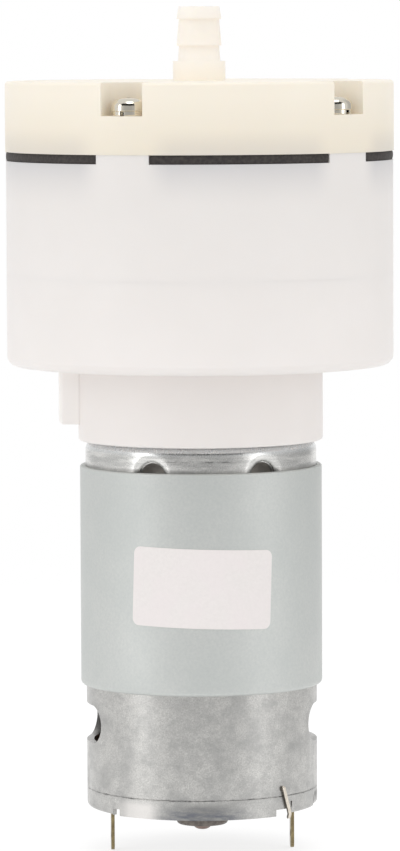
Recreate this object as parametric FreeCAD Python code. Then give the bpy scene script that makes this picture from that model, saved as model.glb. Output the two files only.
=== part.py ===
import FreeCAD, Part
import math
import os

from FreeCAD import Vector

# Small five-chamber diaphragm vacuum pump on a 35.8 mm brushed motor.
# Millimetres, +Z up along the motor shaft, origin on the shaft axis at the middle of the steel
# flux ring, which is where a clamp band holds the pump. The head is on top and the terminals
# point down. An azimuth is in degrees, 0 at the front (-Y), growing towards the right (+X).

# Allowances that many shapes share: how far a cutting shape runs past what it cuts, how far
# shapes of one solid run into each other, and the clearances of seated and of pressed pieces
overrun = 1.0
overlap = 0.5
seat_gap = 0.05
press_gap = 0.02

# Motor case
can_radius = 17.9
can_wall = 1.1
can_length = 57.0
can_corner = 1.4
can_face = 1.2
front_boss_radius = 6.5
front_boss_height = 4.5
front_boss_wall = 1.6
front_boss_lip = 0.6
front_boss_edge = 0.6
shaft_hole_gap = 0.8
motor_turn = 3.2
vent_radius = 2.2
vent_drop = 4.45
vent_azimuth = 27.5
window_height = 5.9
window_width = 16.0
window_rise = 13.3
skirt_height = 3.0
skirt_wall = 0.75
groove_depth = 0.12
crimp_height = 2.05
left_crimp_span = 73.0
right_crimp_span = 83.0
crimp_side_gap = 0.5
rim_notch_height = 1.0
blade_notch_width = 1.5
blade_notch_azimuth = -50.8
strap_notch_width = 3.4
strap_notch_azimuth = 41.6
key_notch_width = 1.3
key_notch_azimuth = 45.7
mounting_spacing = 25.0

# Flux ring round the case
ring_length = 34.0
ring_thickness = 0.8
ring_gap = 0.05
ring_drop = 3.9
ring_seam = 2.0
ring_top_edge = 0.15
ring_round = 0.55

# Field magnets
magnet_thickness = 4.6
magnet_length = 33.5
magnet_count = 2
magnet_arc = 136.0
magnet_rise = 16.8
magnet_edge = 0.5
spring_sheet = 0.5
spring_inset = 2.0
spring_side_gap = 0.3
spring_leg_inset = 0.8

# Rotor
shaft_radius = 1.5875
shaft_reach = 14.0
shaft_tail = 4.0
shaft_dome = 0.87
shaft_edge = 0.4
core_length = 27.0
core_rise = 21.5
air_gap = 0.5
slot_count = 5
slot_mouth = 2.2
tooth_width = 3.6
tooth_shoe = 1.7
core_hub_radius = 4.2
insulator_thickness = 0.4
coil_overhang = 3.4
coil_gap = 0.3
coil_corner = 1.5
commutator_radius = 5.2
commutator_hub_radius = 3.3
commutator_hub_lip = 0.4
commutator_length = 8.5
commutator_rise = 8.0
commutator_slit = 5.0
riser_radius = 6.3
riser_height = 0.9
spacer_radius = 3.1
spacer_play = 0.1

# Bearings, end plate and brush gear
bush_length = 4.6
bush_edge = 0.5
running_gap = 0.03
rear_boss_radius = 4.0
rear_boss_drop = 3.1
rear_boss_wall = 0.7
rear_boss_edge = 0.5
rear_mouth_gap = 0.45
rear_bush_length = 5.6
end_plate_thickness = 1.2
end_plate_lift = 1.25
end_plate_chamfer = 0.5
key_reach = 2.0
holder_thickness = 2.4
holder_bore = 6.8
sleeve_wall = 0.9
post_height = 4.6
post_width = 8.0
post_depth = 3.2
brush_length = 3.8
brush_width = 4.0
brush_height = 4.0
brush_rise = 12.5
arm_sheet = 0.3
arm_rise = 0.6
arm_side_gap = 0.1
arm_inset = 0.2
terminal_inset = 2.8
terminal_sheet = 0.5
terminal_width = 2.8
terminal_drop = 7.0
terminal_hole = 0.6
terminal_hole_rise = 2.2
terminal_round = 0.8
strap_width = 0.5
strap_sheet = 0.35
strap_rise = 4.3
strap_azimuth = 40.8
strap_foot_azimuth = 45.2
strap_dot = 0.45
strap_dot_height = 0.5

# Pump head housing
head_radius = 30.0
body_inset = 0.1
collar_radius = 18.95
collar_height = 11.7
collar_wall = 2.3
floor_thickness = 2.5
flange_thickness = 2.3
crankcase_height = 14.0
block_height = 17.6
body_wall = 2.4
body_corner = 1.5
collar_edge = 0.4
tongue_height = 1.5
tongue_thickness = 1.0
tongue_relief = 0.5
gusset_height = 6.0
gusset_thickness = 1.6
gusset_inset = 1.0
fit_gap = 0.15
cover_height = 10.8
cover_edge = 0.5
roof_thickness = 2.2
chamber_count = 5
first_post = -22.95

# Head screws
screw_inset = 3.0
screw_radius = 1.4
screw_head_radius = 2.7
screw_head_height = 2.05
screw_hole_gap = 0.15
screw_bite = 9.0
recess_length = 2.6
recess_width = 0.55
pilot_gap = 0.05
washer_thickness = 0.7
washer_radius = 2.6
washer_slit = 0.6
washer_slit_lean = 25.0
notch_width = 6.8
notch_depth = 5.0
post_pad_width = 8.6
pillar_radius = 3.3

# Exhaust port on the side of the collar
port_reach = 2.7
port_width = 10.0
port_height = 9.1
port_corner = 0.8
port_bore = 2.0
port_mouth = 0.4

# Suction nozzle
nozzle_collar_radius = 4.05
nozzle_collar_height = 3.0
nozzle_height = 11.4
nozzle_bore = 2.0
nozzle_root = 3.1
barb_crest = 3.45
nozzle_tip = 3.15
upper_barb_drop = 1.6
barb_pitch = 4.1
crest_land = 0.35

# Diaphragm and valves
rubber_thickness = 1.4
pillar_gap = 1.9
bore_web = 2.45
cup_wall = 0.7
cup_bore_gap = 0.4
cup_depth = 6.0
cup_floor_radius = 4.4
cup_floor_thickness = 2.0
stem_radius = 1.35
stem_bulb_radius = 2.1
stem_bulb_length = 2.8
stem_bulb_step = 0.6
stem_tip_radius = 0.8
deck_thickness = 3.6
valve_plate_thickness = 3.0
plate_margin = 1.1
valve_gap = 2.6
valve_room = 0.5
outlet_room = 1.7
valve_crown = 0.8
valve_crown_radius = 1.05
valve_edge = 0.3
valve_barb = 1.0
valve_stem_radius = 0.7
valve_head_radius = 1.0
valve_port_count = 4
valve_port_web = 0.2
valve_port_cover = 0.3
divider_room = 0.5
passage_radius = 1.7

# Wobble drive
wobble_angle = 6.0
swing_arm_thickness = 2.2
swing_arm_width = 3.6
swing_hub_radius = 3.6
swing_hub_drop = 8.5
swing_hub_rise = 1.3
swing_eye_wall = 1.9
swing_rib_depth = 4.4
swing_rib_thickness = 1.4
stem_gap = 0.1
pin_radius = 1.25
pin_gap = 0.04
pin_mouth = 0.6
pin_bite = 6.0
hub_clearance = 1.5
shaft_end_gap = 0.3
pin_floor = 0.7
hub_radius = 5.4
hub_head = 1.5
flange_radius = 8.5
flange_height = 4.0
weight_radius = 11.5
weight_height = 7.0
weight_arc = 120.0
set_screw_radius = 1.5
set_screw_inset = 1.0
set_screw_socket = 1.6

# Motor fixing screws
fixing_radius = 1.45
fixing_head_radius = 2.75
fixing_head_height = 1.9
fixing_length = 4.5

# Heights that follow from the sizes above
face_z = ring_length / 2 + ring_drop
end_z = face_z - can_length
flange_z = face_z + collar_height
split_z = flange_z + crankcase_height
deck_z = split_z + block_height
plate_z = deck_z + rubber_thickness
plate_top_z = plate_z + valve_plate_thickness
cover_top_z = plate_z + cover_height
roof_z = cover_top_z - roof_thickness
ledge_z = cover_top_z - notch_depth
nozzle_top_z = cover_top_z + nozzle_height
deck_under_z = deck_z - deck_thickness
arm_top_z = deck_z - cup_depth
wobble_z = arm_top_z - swing_arm_thickness / 2
shaft_top_z = face_z + shaft_reach
hub_low_z = face_z + front_boss_height + hub_clearance
pin_low_z = shaft_top_z + shaft_end_gap + pin_floor
end_plate_z = end_z + end_plate_lift
holder_z = end_plate_z + end_plate_thickness
holder_top_z = holder_z + holder_thickness
brush_z = end_z + brush_rise
core_z = end_z + core_rise
core_top_z = core_z + core_length
commutator_z = end_z + commutator_rise
commutator_top_z = commutator_z + commutator_length

# Radii that follow from the sizes above
can_inner = can_radius - can_wall
ring_radius = can_radius + ring_gap + ring_thickness
body_radius = head_radius - body_inset
body_inner = body_radius - body_wall
collar_inner = collar_radius - collar_wall
screw_circle = head_radius - screw_inset
magnet_inner = can_inner - magnet_thickness
magnet_pitch = 360.0 / magnet_count
core_radius = magnet_inner - air_gap
coil_outer = core_radius - tooth_shoe - coil_gap / 2
coil_inner = core_hub_radius + coil_gap / 2
terminal_radius = can_inner - terminal_inset
half_pitch_sine = math.sin(math.pi / chamber_count)
pillar_reach = screw_circle - pillar_radius - pillar_gap
cup_circle = (pillar_reach + bore_web / 2) / (1 + half_pitch_sine)
cup_bore_radius = cup_circle * half_pitch_sine - bore_web / 2
cup_top_radius = cup_bore_radius - cup_bore_gap
cup_mouth_radius = cup_top_radius - cup_wall
valve_radius = (2 * cup_mouth_radius - 2 * valve_room - valve_gap) / 4
valve_offset = valve_radius + valve_gap / 2
valve_port_radius = (valve_radius - valve_stem_radius - valve_port_web - valve_port_cover) / 2
valve_port_circle = valve_radius - valve_port_cover - valve_port_radius
inlet_circle = cup_circle - valve_offset
outlet_circle = cup_circle + valve_offset
divider_inner = cup_circle - valve_gap / 2 + divider_room
divider_outer = cup_circle + valve_gap / 2 - divider_room
outlet_wall = outlet_circle + valve_radius + outlet_room
valve_plate_radius = screw_circle - screw_radius - plate_margin
recess_radius = valve_plate_radius + fit_gap
passage_circle = (divider_outer + outlet_wall) / 2
ball_radius = pin_radius
chamber_pitch = 360.0 / chamber_count
post_azimuths = [first_post + chamber_pitch * i for i in range(chamber_count)]
cup_azimuths = [azimuth + chamber_pitch / 2 for azimuth in post_azimuths]
port_azimuth = first_post - chamber_pitch
wobble_centre = Vector(0, 0, wobble_z)


# Shape helpers

def cylinder(radius, low, high, x=0.0, y=0.0):
    return Part.makeCylinder(radius, high - low, Vector(x, y, low))


def tube(outer, inner, low, high, x=0.0, y=0.0):
    return cylinder(outer, low, high, x, y).cut(cylinder(inner, low, high, x, y))


def block(x_low, x_high, y_low, y_high, z_low, z_high):
    corner = Vector(x_low, y_low, z_low)
    return Part.makeBox(x_high - x_low, y_high - y_low, z_high - z_low, corner)


def closed_face(steps, place):
    # A step of two numbers is a corner, and one of four is an arc through the first pair.
    here = steps[0]
    edges = []
    for step in list(steps[1:]) + [steps[0][:2]]:
        end = step[-2:]
        if len(step) == 4:
            arc = Part.Arc(place(*here), place(*step[:2]), place(*end))
            edges.append(arc.toShape())
        elif math.dist(here, end) > 1e-7:
            edges.append(Part.LineSegment(place(*here), place(*end)).toShape())
        here = end
    return Part.Face(Part.Wire(edges))


def spin(steps, arc=360.0, azimuth=0.0):
    # Turns an outline of (radius, height) steps about the axis, centred on the azimuth.
    face = closed_face(steps, lambda r, z: Vector(0, -r, z))
    solid = face.revolve(Vector(0, 0, 0), Vector(0, 0, 1), arc)
    return turned(solid, azimuth - arc / 2)


def slab(steps, y_low, y_high):
    # Extrudes an outline of (x, z) steps along Y.
    face = closed_face(steps, lambda x, z: Vector(x, y_low, z))
    return face.extrude(Vector(0, y_high - y_low, 0))


def turned(shape, azimuth):
    copy = shape.copy()
    copy.rotate(Vector(0, 0, 0), Vector(0, 0, 1), azimuth)
    return copy


def around(shape, azimuths):
    return [turned(shape, azimuth) for azimuth in azimuths]


def fused(shapes):
    first, *others = shapes
    return first.multiFuse(others).removeSplitter() if others else first


def cut_by(shape, tools):
    return shape.cut(tools) if tools else shape


def wobbled(shape):
    # Tips a shape with the drive pin, which leans towards the right at rest.
    copy = shape.copy()
    copy.rotate(wobble_centre, Vector(0, 1, 0), wobble_angle)
    return copy


def pin_offset(height):
    # How far left of the shaft the drive pin's axis lies at a height below the wobble centre.
    return (wobble_z - height) * math.tan(math.radians(wobble_angle))


def quarter(radius):
    # Where the middle of a quarter-round edge lies, measured in from its corner.
    return radius * (1 - math.sqrt(0.5))


# Pump head

def top_cover():
    edge = cover_edge
    mid = quarter(edge)
    lower_crest = nozzle_top_z - upper_barb_drop - barb_pitch
    upper_crest = nozzle_top_z - upper_barb_drop
    collar_top = cover_top_z + nozzle_collar_height
    root = (nozzle_root + barb_crest) / 2
    outline = [
        (recess_radius, plate_z),
        (head_radius, plate_z),
        (head_radius, cover_top_z - edge),
        (head_radius - mid, cover_top_z - mid, head_radius - edge, cover_top_z),
        (nozzle_collar_radius, cover_top_z),
        (nozzle_collar_radius, collar_top),
        (root, collar_top),
        (nozzle_root, lower_crest - crest_land),
        (barb_crest, lower_crest - crest_land),
        (barb_crest, lower_crest),
        (nozzle_root, upper_crest - crest_land),
        (barb_crest, upper_crest - crest_land),
        (barb_crest, upper_crest),
        (nozzle_tip, nozzle_top_z),
        (nozzle_bore, nozzle_top_z),
        (nozzle_bore, roof_z),
        (divider_inner, roof_z),
        (divider_inner, plate_top_z),
        (divider_outer, plate_top_z),
        (divider_outer, roof_z),
        (outlet_wall, roof_z),
        (outlet_wall, plate_top_z),
        (recess_radius, plate_top_z),
    ]
    half = notch_width / 2
    high = cover_top_z + overrun
    notch = cylinder(half, ledge_z, high, 0, -screw_circle).fuse(
        block(-half, half, -head_radius - overrun, -screw_circle, ledge_z, high))
    hole = screw_hole(plate_z, ledge_z)
    return cut_by(spin(outline), around(notch, post_azimuths) + around(hole, post_azimuths))


def screw_hole(low, high):
    hole = screw_radius + screw_hole_gap
    return cylinder(hole, low - overrun, high + overrun, 0, -screw_circle)


def valve_places():
    inlets = [(inlet_circle, azimuth) for azimuth in cup_azimuths]
    outlets = [(outlet_circle, azimuth) for azimuth in cup_azimuths]
    return inlets, outlets


def valve_plate():
    plate = cylinder(valve_plate_radius, plate_z, plate_top_z)
    inlets, outlets = valve_places()
    tools = []
    for circle, azimuth in inlets + outlets:
        stem = cylinder(valve_stem_radius + seat_gap, plate_z, plate_top_z, 0, -circle)
        tools.append(turned(stem, azimuth))
        for port in range(valve_port_count):
            angle = 2 * math.pi * (port + 0.5) / valve_port_count
            x = valve_port_circle * math.cos(angle)
            y = valve_port_circle * math.sin(angle) - circle
            tools.append(turned(cylinder(valve_port_radius, plate_z, plate_top_z, x, y), azimuth))
    tools.append(passage(plate_z, plate_top_z))
    return cut_by(plate, tools)


def passage(low, high):
    # The drilling that takes the exhaust air down from the outlet chamber into the crankcase.
    drilling = cylinder(passage_radius, low, high, 0, -passage_circle)
    return turned(drilling, port_azimuth)


def umbrella(circle, azimuth, upwards):
    # A rubber umbrella valve: its lip lies on one face of the plate, its head holds the other.
    face = plate_top_z if upwards else plate_z
    way = 1 if upwards else -1
    far = -way * valve_plate_thickness
    outline = [
        (0, way * valve_crown),
        (valve_crown_radius, way * valve_crown),
        (valve_radius, way * valve_edge),
        (valve_radius, 0),
        (valve_stem_radius, 0),
        (valve_stem_radius, far),
        (valve_head_radius, far - way * seat_gap),
        (valve_stem_radius, far - way * valve_barb),
        (0, far - way * valve_barb),
    ]
    solid = spin(outline)
    solid.translate(Vector(0, -circle, face))
    return turned(solid, azimuth)


def inlet_valves():
    inlets, outlets = valve_places()
    return [umbrella(circle, azimuth, False) for circle, azimuth in inlets]


def outlet_valves():
    inlets, outlets = valve_places()
    return [umbrella(circle, azimuth, True) for circle, azimuth in outlets]


def pad_outline(spare, low, high):
    # The U-shaped pad round each head screw, or the notch in the rubber that clears it.
    half = post_pad_width / 2 + spare
    pad = cylinder(half, low, high, 0, -screw_circle).fuse(
        block(-half, half, -head_radius - overrun, -screw_circle, low, high))
    return pad


def cup(azimuth):
    # One cup of the diaphragm, drawn with its floor already tipped by the swing frame.
    centre = turned(Part.Vertex(0, -cup_circle, 0), azimuth).Point
    floor_top = arm_top_z + cup_floor_thickness

    def floor_circle(radius, height):
        circle = Part.makeCircle(radius, Vector(centre.x, centre.y, height))
        return Part.Wire([wobbled(circle).Edges[0]])

    def rim_circle(radius, height):
        return Part.Wire([Part.makeCircle(radius, Vector(centre.x, centre.y, height))])

    low = arm_top_z + cup_floor_thickness / 2
    outer = Part.makeLoft(
        [floor_circle(cup_floor_radius, low), rim_circle(cup_top_radius, deck_z)], True, True)
    lip = cylinder(cup_top_radius, deck_z, plate_z, centre.x, centre.y)
    inner = Part.makeLoft(
        [floor_circle(cup_floor_radius - cup_wall, floor_top),
         rim_circle(cup_mouth_radius, plate_z)], True, True)
    arm_low = arm_top_z - swing_arm_thickness - seat_gap
    tip = arm_low - stem_bulb_length
    plug = spin([
        (0, low + overlap),
        (cup_floor_radius, low),
        (cup_floor_radius, arm_top_z + seat_gap),
        (stem_radius, arm_top_z + seat_gap),
        (stem_radius, arm_low),
        (stem_bulb_radius, arm_low),
        (stem_bulb_radius, arm_low - stem_bulb_step),
        (stem_tip_radius, tip),
        (0, tip),
    ])
    plug.translate(Vector(centre.x, centre.y, 0))
    return outer.fuse([lip, wobbled(plug)]), inner


def diaphragm():
    sheet = cylinder(body_radius, deck_z, plate_z)
    cups = [cup(azimuth) for azimuth in cup_azimuths]
    notch = pad_outline(fit_gap, deck_z - overrun, plate_z + overrun)
    sheet = cut_by(sheet, around(notch, post_azimuths) + [passage(deck_z, plate_z)])
    whole = fused([sheet] + [outer for outer, inner in cups])
    return cut_by(whole, [inner for outer, inner in cups])


def cylinder_block():
    wall = tube(body_radius, body_inner, split_z, deck_z)
    deck = cylinder(body_radius, deck_under_z, deck_z)
    column = cylinder(pillar_radius, split_z, deck_z, 0, -screw_circle)
    pad = pad_outline(0, deck_z - overlap, plate_z)
    gusset_end = passage_circle + passage_radius + gusset_inset
    gusset = slab([
        (-screw_circle, deck_under_z - gusset_height),
        (-screw_circle, deck_under_z + overlap),
        (-gusset_end, deck_under_z + overlap),
        (-gusset_end, deck_under_z - gusset_inset),
    ], -gusset_thickness / 2, gusset_thickness / 2)
    gusset.rotate(Vector(0, 0, 0), Vector(0, 0, 1), 90)
    parts = [wall, deck, locating_tongue()]
    for piece in (column, pad, gusset):
        parts += around(piece, post_azimuths)
    solid = fused(parts).common(cylinder(body_radius, split_z - tongue_height, plate_z))
    hole = screw_hole(split_z, plate_z)
    bore = cylinder(cup_bore_radius, deck_under_z - overrun, deck_z + overrun, 0, -cup_circle)
    tools = around(hole, post_azimuths) + around(bore, cup_azimuths)
    return cut_by(solid, tools + [passage(deck_under_z - overrun, deck_z)])


def locating_tongue():
    # The ring that drops inside the crankcase's wall, on a root that joins it to the block's own.
    outer = body_inner - fit_gap
    inner = outer - tongue_thickness
    ring = tube(outer, inner, split_z - tongue_height, split_z)
    root = tube(body_inner + overlap, inner, split_z, split_z + tongue_thickness)
    half = pillar_radius + tongue_relief
    gap = block(-half, half, -head_radius, -screw_circle / 2,
                split_z - tongue_height - overrun, split_z)
    return cut_by(ring, around(gap, post_azimuths)).fuse(root)


def crankcase():
    corner = body_corner
    mid = quarter(corner)
    foot = quarter(collar_edge)
    boss_hole = front_boss_radius + fit_gap
    shell = spin([
        (boss_hole, face_z),
        (collar_radius - collar_edge, face_z),
        (collar_radius - foot, face_z + foot, collar_radius, face_z + collar_edge),
        (collar_radius, flange_z),
        (body_radius - corner, flange_z),
        (body_radius - mid, flange_z + mid, body_radius, flange_z + corner),
        (body_radius, split_z),
        (body_inner, split_z),
        (body_inner, flange_z + flange_thickness),
        (collar_inner, flange_z + flange_thickness),
        (collar_inner, face_z + floor_thickness),
        (boss_hole, face_z + floor_thickness),
    ])
    pillar = cylinder(pillar_radius, flange_z + overlap, split_z, 0, -screw_circle).common(
        cylinder(body_radius - overlap, flange_z, split_z))
    solid = fused([shell, exhaust_port()] + around(pillar, post_azimuths))
    pilot = cylinder(screw_radius + pilot_gap, split_z - screw_bite - overrun,
                     split_z + overrun, 0, -screw_circle)
    fixing = cylinder(fixing_radius + screw_hole_gap, face_z - overrun,
                      face_z + floor_thickness + overrun, mounting_spacing / 2, 0)
    fixings = around(fixing, [motor_turn, motor_turn + 180])
    return cut_by(solid, around(pilot, post_azimuths) + fixings + [exhaust_bore()])


def exhaust_port():
    # A square boss on the collar, in line with one of the head screws.
    half = port_width / 2
    reach = collar_radius + port_reach
    top = flange_z + overlap
    boss = block(-half, half, -reach, -collar_inner - overlap, flange_z - port_height, top)
    outer_edges = [
        edge for edge in boss.Edges
        if edge.BoundBox.YMax < -collar_radius and edge.BoundBox.ZMin < flange_z
    ]
    boss = boss.makeFillet(port_corner, outer_edges)
    hollow = cylinder(collar_inner + overlap, face_z, flange_z + overrun)
    return turned(boss.cut(hollow), port_azimuth)


def exhaust_bore():
    # The hole through the boss into the collar, with a chamfered mouth.
    middle = Vector(0, -collar_radius - port_reach, flange_z - port_height / 2)
    inward = Vector(0, 1, 0)
    bore = Part.makeCylinder(port_bore, port_reach + collar_wall + overrun, middle, inward)
    mouth = Part.makeCone(port_bore + port_mouth, port_bore, port_mouth, middle, inward)
    return turned(bore.fuse(mouth), port_azimuth)


def pan_screw(shank, head, height, length):
    # A cross-recess pan-head screw that hangs from z = 0, its shank pointing down.
    screw = spin([
        (0, -length),
        (shank * 0.45, -length),
        (shank, -length + shank),
        (shank, 0),
        (head, 0),
        (head, height * 0.45),
        (head * 0.72, height * 0.9, 0, height),
    ])
    long, short = recess_length / 2, recess_width / 2
    arm = block(-long, long, -short, short, height * 0.35, height + overrun)
    return cut_by(screw, around(arm, [0, 90]))


def head_screws():
    length = ledge_z + washer_thickness - split_z + screw_bite
    screw = pan_screw(screw_radius, screw_head_radius, screw_head_height, length)
    screw.translate(Vector(0, -screw_circle, ledge_z + washer_thickness))
    return around(screw, post_azimuths)


def head_screw_washers():
    washer = tube(washer_radius, screw_radius + screw_hole_gap,
                  ledge_z, ledge_z + washer_thickness)
    slit = block(-washer_slit / 2, washer_slit / 2, -washer_radius - overrun, 0,
                 ledge_z - overrun, ledge_z + washer_thickness + overrun)
    slit.rotate(Vector(0, 0, ledge_z), Vector(0, 1, 0), washer_slit_lean)
    washer = washer.cut(slit)
    washer.translate(Vector(0, -screw_circle, 0))
    return around(washer, post_azimuths)


def motor_screws():
    seat = face_z + floor_thickness
    screw = pan_screw(fixing_radius, fixing_head_radius, fixing_head_height, fixing_length)
    screw.translate(Vector(mounting_spacing / 2, 0, seat))
    return around(screw, [motor_turn, motor_turn + 180])


# Wobble drive

def swing_frame():
    low = arm_top_z - swing_arm_thickness
    eye = stem_radius + stem_gap
    eye_outer = eye + swing_eye_wall
    hub_low = wobble_z - swing_hub_drop
    hub = cylinder(swing_hub_radius, hub_low, arm_top_z + swing_hub_rise)
    half = swing_arm_width / 2
    arm = block(-half, half, -cup_circle, 0, low, arm_top_z)
    ring = cylinder(eye_outer, low, arm_top_z, 0, -cup_circle)
    rib = slab([
        (-cup_circle + eye_outer, low + overlap),
        (0, low + overlap),
        (0, low - swing_rib_depth),
        (-swing_hub_radius, low - swing_rib_depth),
    ], -swing_rib_thickness / 2, swing_rib_thickness / 2)
    rib.rotate(Vector(0, 0, 0), Vector(0, 0, 1), 90)
    parts = [hub]
    for piece in (arm, ring, rib):
        parts += around(piece, cup_azimuths)
    bore_top = wobble_z + ball_radius
    running = pin_radius + pin_gap
    bore = cylinder(running, hub_low - overrun, bore_top)
    mouth = Part.makeCone(running + pin_mouth, running, pin_mouth, Vector(0, 0, hub_low))
    hole = cylinder(eye, low - overrun, arm_top_z + overrun, 0, -cup_circle)
    return wobbled(cut_by(fused(parts), around(hole, cup_azimuths) + [bore, mouth]))


def thrust_ball():
    return Part.makeSphere(ball_radius, wobble_centre)


def drive_pin():
    top = wobble_z - ball_radius - running_gap
    return wobbled(cylinder(pin_radius, pin_low_z, top))


def eccentric_hub():
    top = shaft_top_z + shaft_end_gap + pin_bite + hub_head
    lean = pin_offset((top + hub_low_z) / 2)
    post = cylinder(hub_radius, hub_low_z, top, -lean, 0)
    flange = cylinder(flange_radius, hub_low_z, hub_low_z + flange_height)
    weight = spin([
        (shaft_radius, hub_low_z),
        (weight_radius, hub_low_z),
        (weight_radius, hub_low_z + weight_height),
        (shaft_radius, hub_low_z + weight_height),
    ], weight_arc, 90)
    solid = fused([post, flange, weight])
    shaft_bore = cylinder(shaft_radius, hub_low_z - overrun, shaft_top_z + shaft_end_gap)
    pin_bore = wobbled(cylinder(pin_radius, pin_low_z, top + overrun))
    return cut_by(solid, [shaft_bore, pin_bore, set_screw_bore()])


def set_screw_bore():
    start = Vector(-flange_radius - overrun, 0, hub_low_z + flange_height / 2)
    return Part.makeCylinder(set_screw_radius, flange_radius + overrun, start, Vector(1, 0, 0))


def hub_set_screw():
    # A headless screw with a hollow end that bears on the shaft.
    start = Vector(-flange_radius + set_screw_inset, 0, hub_low_z + flange_height / 2)
    length = flange_radius - set_screw_inset
    screw = Part.makeCylinder(set_screw_radius - seat_gap, length, start, Vector(1, 0, 0))
    socket = Part.makeCylinder(set_screw_radius / 2, set_screw_socket, start, Vector(1, 0, 0))
    shaft = cylinder(shaft_radius + press_gap, hub_low_z, shaft_top_z)
    return cut_by(screw, [socket, shaft])


# Motor case and field

def motor_can():
    corner = can_corner
    mid = quarter(corner)
    inner_corner = corner - can_wall
    inner_mid = quarter(inner_corner)
    boss_top = face_z + front_boss_height
    boss_inner = front_boss_radius - front_boss_wall
    skirt_inner = can_radius - skirt_wall
    shoulder = end_z + skirt_height
    shaft_hole = shaft_radius + shaft_hole_gap
    outline = [
        (shaft_hole, boss_top),
        (front_boss_radius - front_boss_edge, boss_top),
        (front_boss_radius, boss_top - front_boss_edge),
        (front_boss_radius, face_z),
        (can_radius - corner, face_z),
        (can_radius - mid, face_z - mid, can_radius, face_z - corner),
        (can_radius, shoulder + groove_depth),
        (can_radius - groove_depth, shoulder),
        (can_radius, shoulder - groove_depth),
        (can_radius, end_z),
        (skirt_inner, end_z),
        (skirt_inner, shoulder),
        (can_inner, shoulder),
        (can_inner, face_z - can_face - inner_corner),
        (can_inner - inner_mid, face_z - can_face - inner_mid,
         can_inner - inner_corner, face_z - can_face),
        (boss_inner, face_z - can_face),
        (boss_inner, boss_top - front_boss_lip),
        (shaft_hole, boss_top - front_boss_lip),
    ]
    solid = spin(outline)
    beyond, below = can_radius + overrun, end_z - overrun
    for side, span in ((-90, left_crimp_span), (90, right_crimp_span)):
        room = spin([(0, below), (beyond, below), (beyond, end_z + crimp_height),
                     (0, end_z + crimp_height)], span, side)
        solid = solid.cut(room).fuse(crimp_tab(span, side))
    half = window_width / 2
    low = end_z + window_rise - window_height / 2
    high = low + window_height
    middle = (low + high) / 2
    inset = half - window_height / 2
    window = slab([
        (-inset, low),
        (inset, low),
        (half, middle, inset, high),
        (-inset, high),
        (-half, middle, -inset, low),
    ], -beyond, -can_inner / 2)
    vent = Part.makeCylinder(vent_radius, beyond, Vector(0, 0, face_z - vent_drop),
                             Vector(0, -1, 0))
    fixing = cylinder(fixing_radius + pilot_gap, face_z - can_face - overrun, face_z + overrun,
                      mounting_spacing / 2, 0)
    tools = around(window, [-90, 90]) + around(vent, vent_places()) + around(fixing, [0, 180])
    for azimuth, width in rim_notches():
        notch = block(-width / 2, width / 2, -beyond, -can_inner / 2, below,
                      end_z + rim_notch_height)
        tools.append(turned(notch, azimuth))
    return turned(cut_by(solid, tools), motor_turn)


def vent_places():
    return [-vent_azimuth, vent_azimuth, 180 - vent_azimuth, 180 + vent_azimuth]


def key_places():
    return [180 - key_notch_azimuth, 180 + key_notch_azimuth]


def rim_notches():
    # The azimuth and width of each notch in the rim: two in front, two for the end plate's keys.
    front = [(blade_notch_azimuth, blade_notch_width), (strap_notch_azimuth, strap_notch_width)]
    return front + [(azimuth, key_notch_width) for azimuth in key_places()]


def crimp_tab(span, side):
    # A length of the rim rolled in under the end plate.
    out, low, high = can_radius, end_z, end_z + crimp_height + seat_gap
    bend = crimp_height - seat_gap
    inner_bend = bend - skirt_wall
    mid, inner_mid = quarter(bend), quarter(inner_bend)
    skirt_inner = out - skirt_wall
    tip = out - bend - seat_gap
    return spin([
        (out, high),
        (out, low + bend),
        (out - mid, low + mid, out - bend, low),
        (tip, low),
        (tip, low + skirt_wall),
        (skirt_inner - inner_bend, low + skirt_wall),
        (skirt_inner - inner_mid, low + skirt_wall + inner_mid,
         skirt_inner, low + skirt_wall + inner_bend),
        (skirt_inner, high),
    ], span - 2 * crimp_side_gap, side)


def flux_ring():
    inner = can_radius + ring_gap
    low, high = -ring_length / 2, ring_length / 2
    mid = quarter(ring_round)
    return turned(spin([
        (inner, low),
        (ring_radius - ring_round, low),
        (ring_radius - mid, low + mid, ring_radius, low + ring_round),
        (ring_radius, high - ring_top_edge),
        (ring_radius - ring_top_edge, high),
        (inner, high),
    ], 360 - ring_seam), motor_turn)


def magnet(azimuth):
    low = end_z + magnet_rise
    high = low + magnet_length
    outer = can_inner - running_gap
    arc = spin([
        (magnet_inner, low + magnet_edge),
        (magnet_inner + magnet_edge, low),
        (outer, low),
        (outer, high),
        (magnet_inner + magnet_edge, high),
        (magnet_inner, high - magnet_edge),
    ], magnet_arc, azimuth)
    return turned(arc, motor_turn)


def magnet_springs():
    # U-shaped clips of spring sheet that push the two magnets apart against the case.
    low = end_z + magnet_rise + spring_inset
    high = low + magnet_length - 2 * spring_inset
    outer = can_inner - running_gap
    span = magnet_pitch - magnet_arc - 2 * spring_side_gap
    leg_arc = math.degrees(spring_sheet / magnet_inner)
    leg_inner = magnet_inner + spring_leg_inset
    back = spin([(outer - spring_sheet, low), (outer, low),
                 (outer, high), (outer - spring_sheet, high)], span, 90)
    legs = [
        spin([(leg_inner, low), (outer, low), (outer, high), (leg_inner, high)],
             leg_arc, 90 + side * (span - leg_arc) / 2)
        for side in (-1, 1)
    ]
    clip = fused([back] + legs)
    return around(clip, [motor_turn, motor_turn + magnet_pitch])


def front_bush():
    high = face_z + front_boss_height - front_boss_lip - press_gap
    low = high - bush_length
    outer = front_boss_radius - front_boss_wall - press_gap
    return spin([
        (shaft_radius + running_gap, low),
        (outer - bush_edge, low),
        (outer, low + bush_edge),
        (outer, high),
        (shaft_radius + running_gap, high),
    ])


# Rear end of the motor

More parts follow.
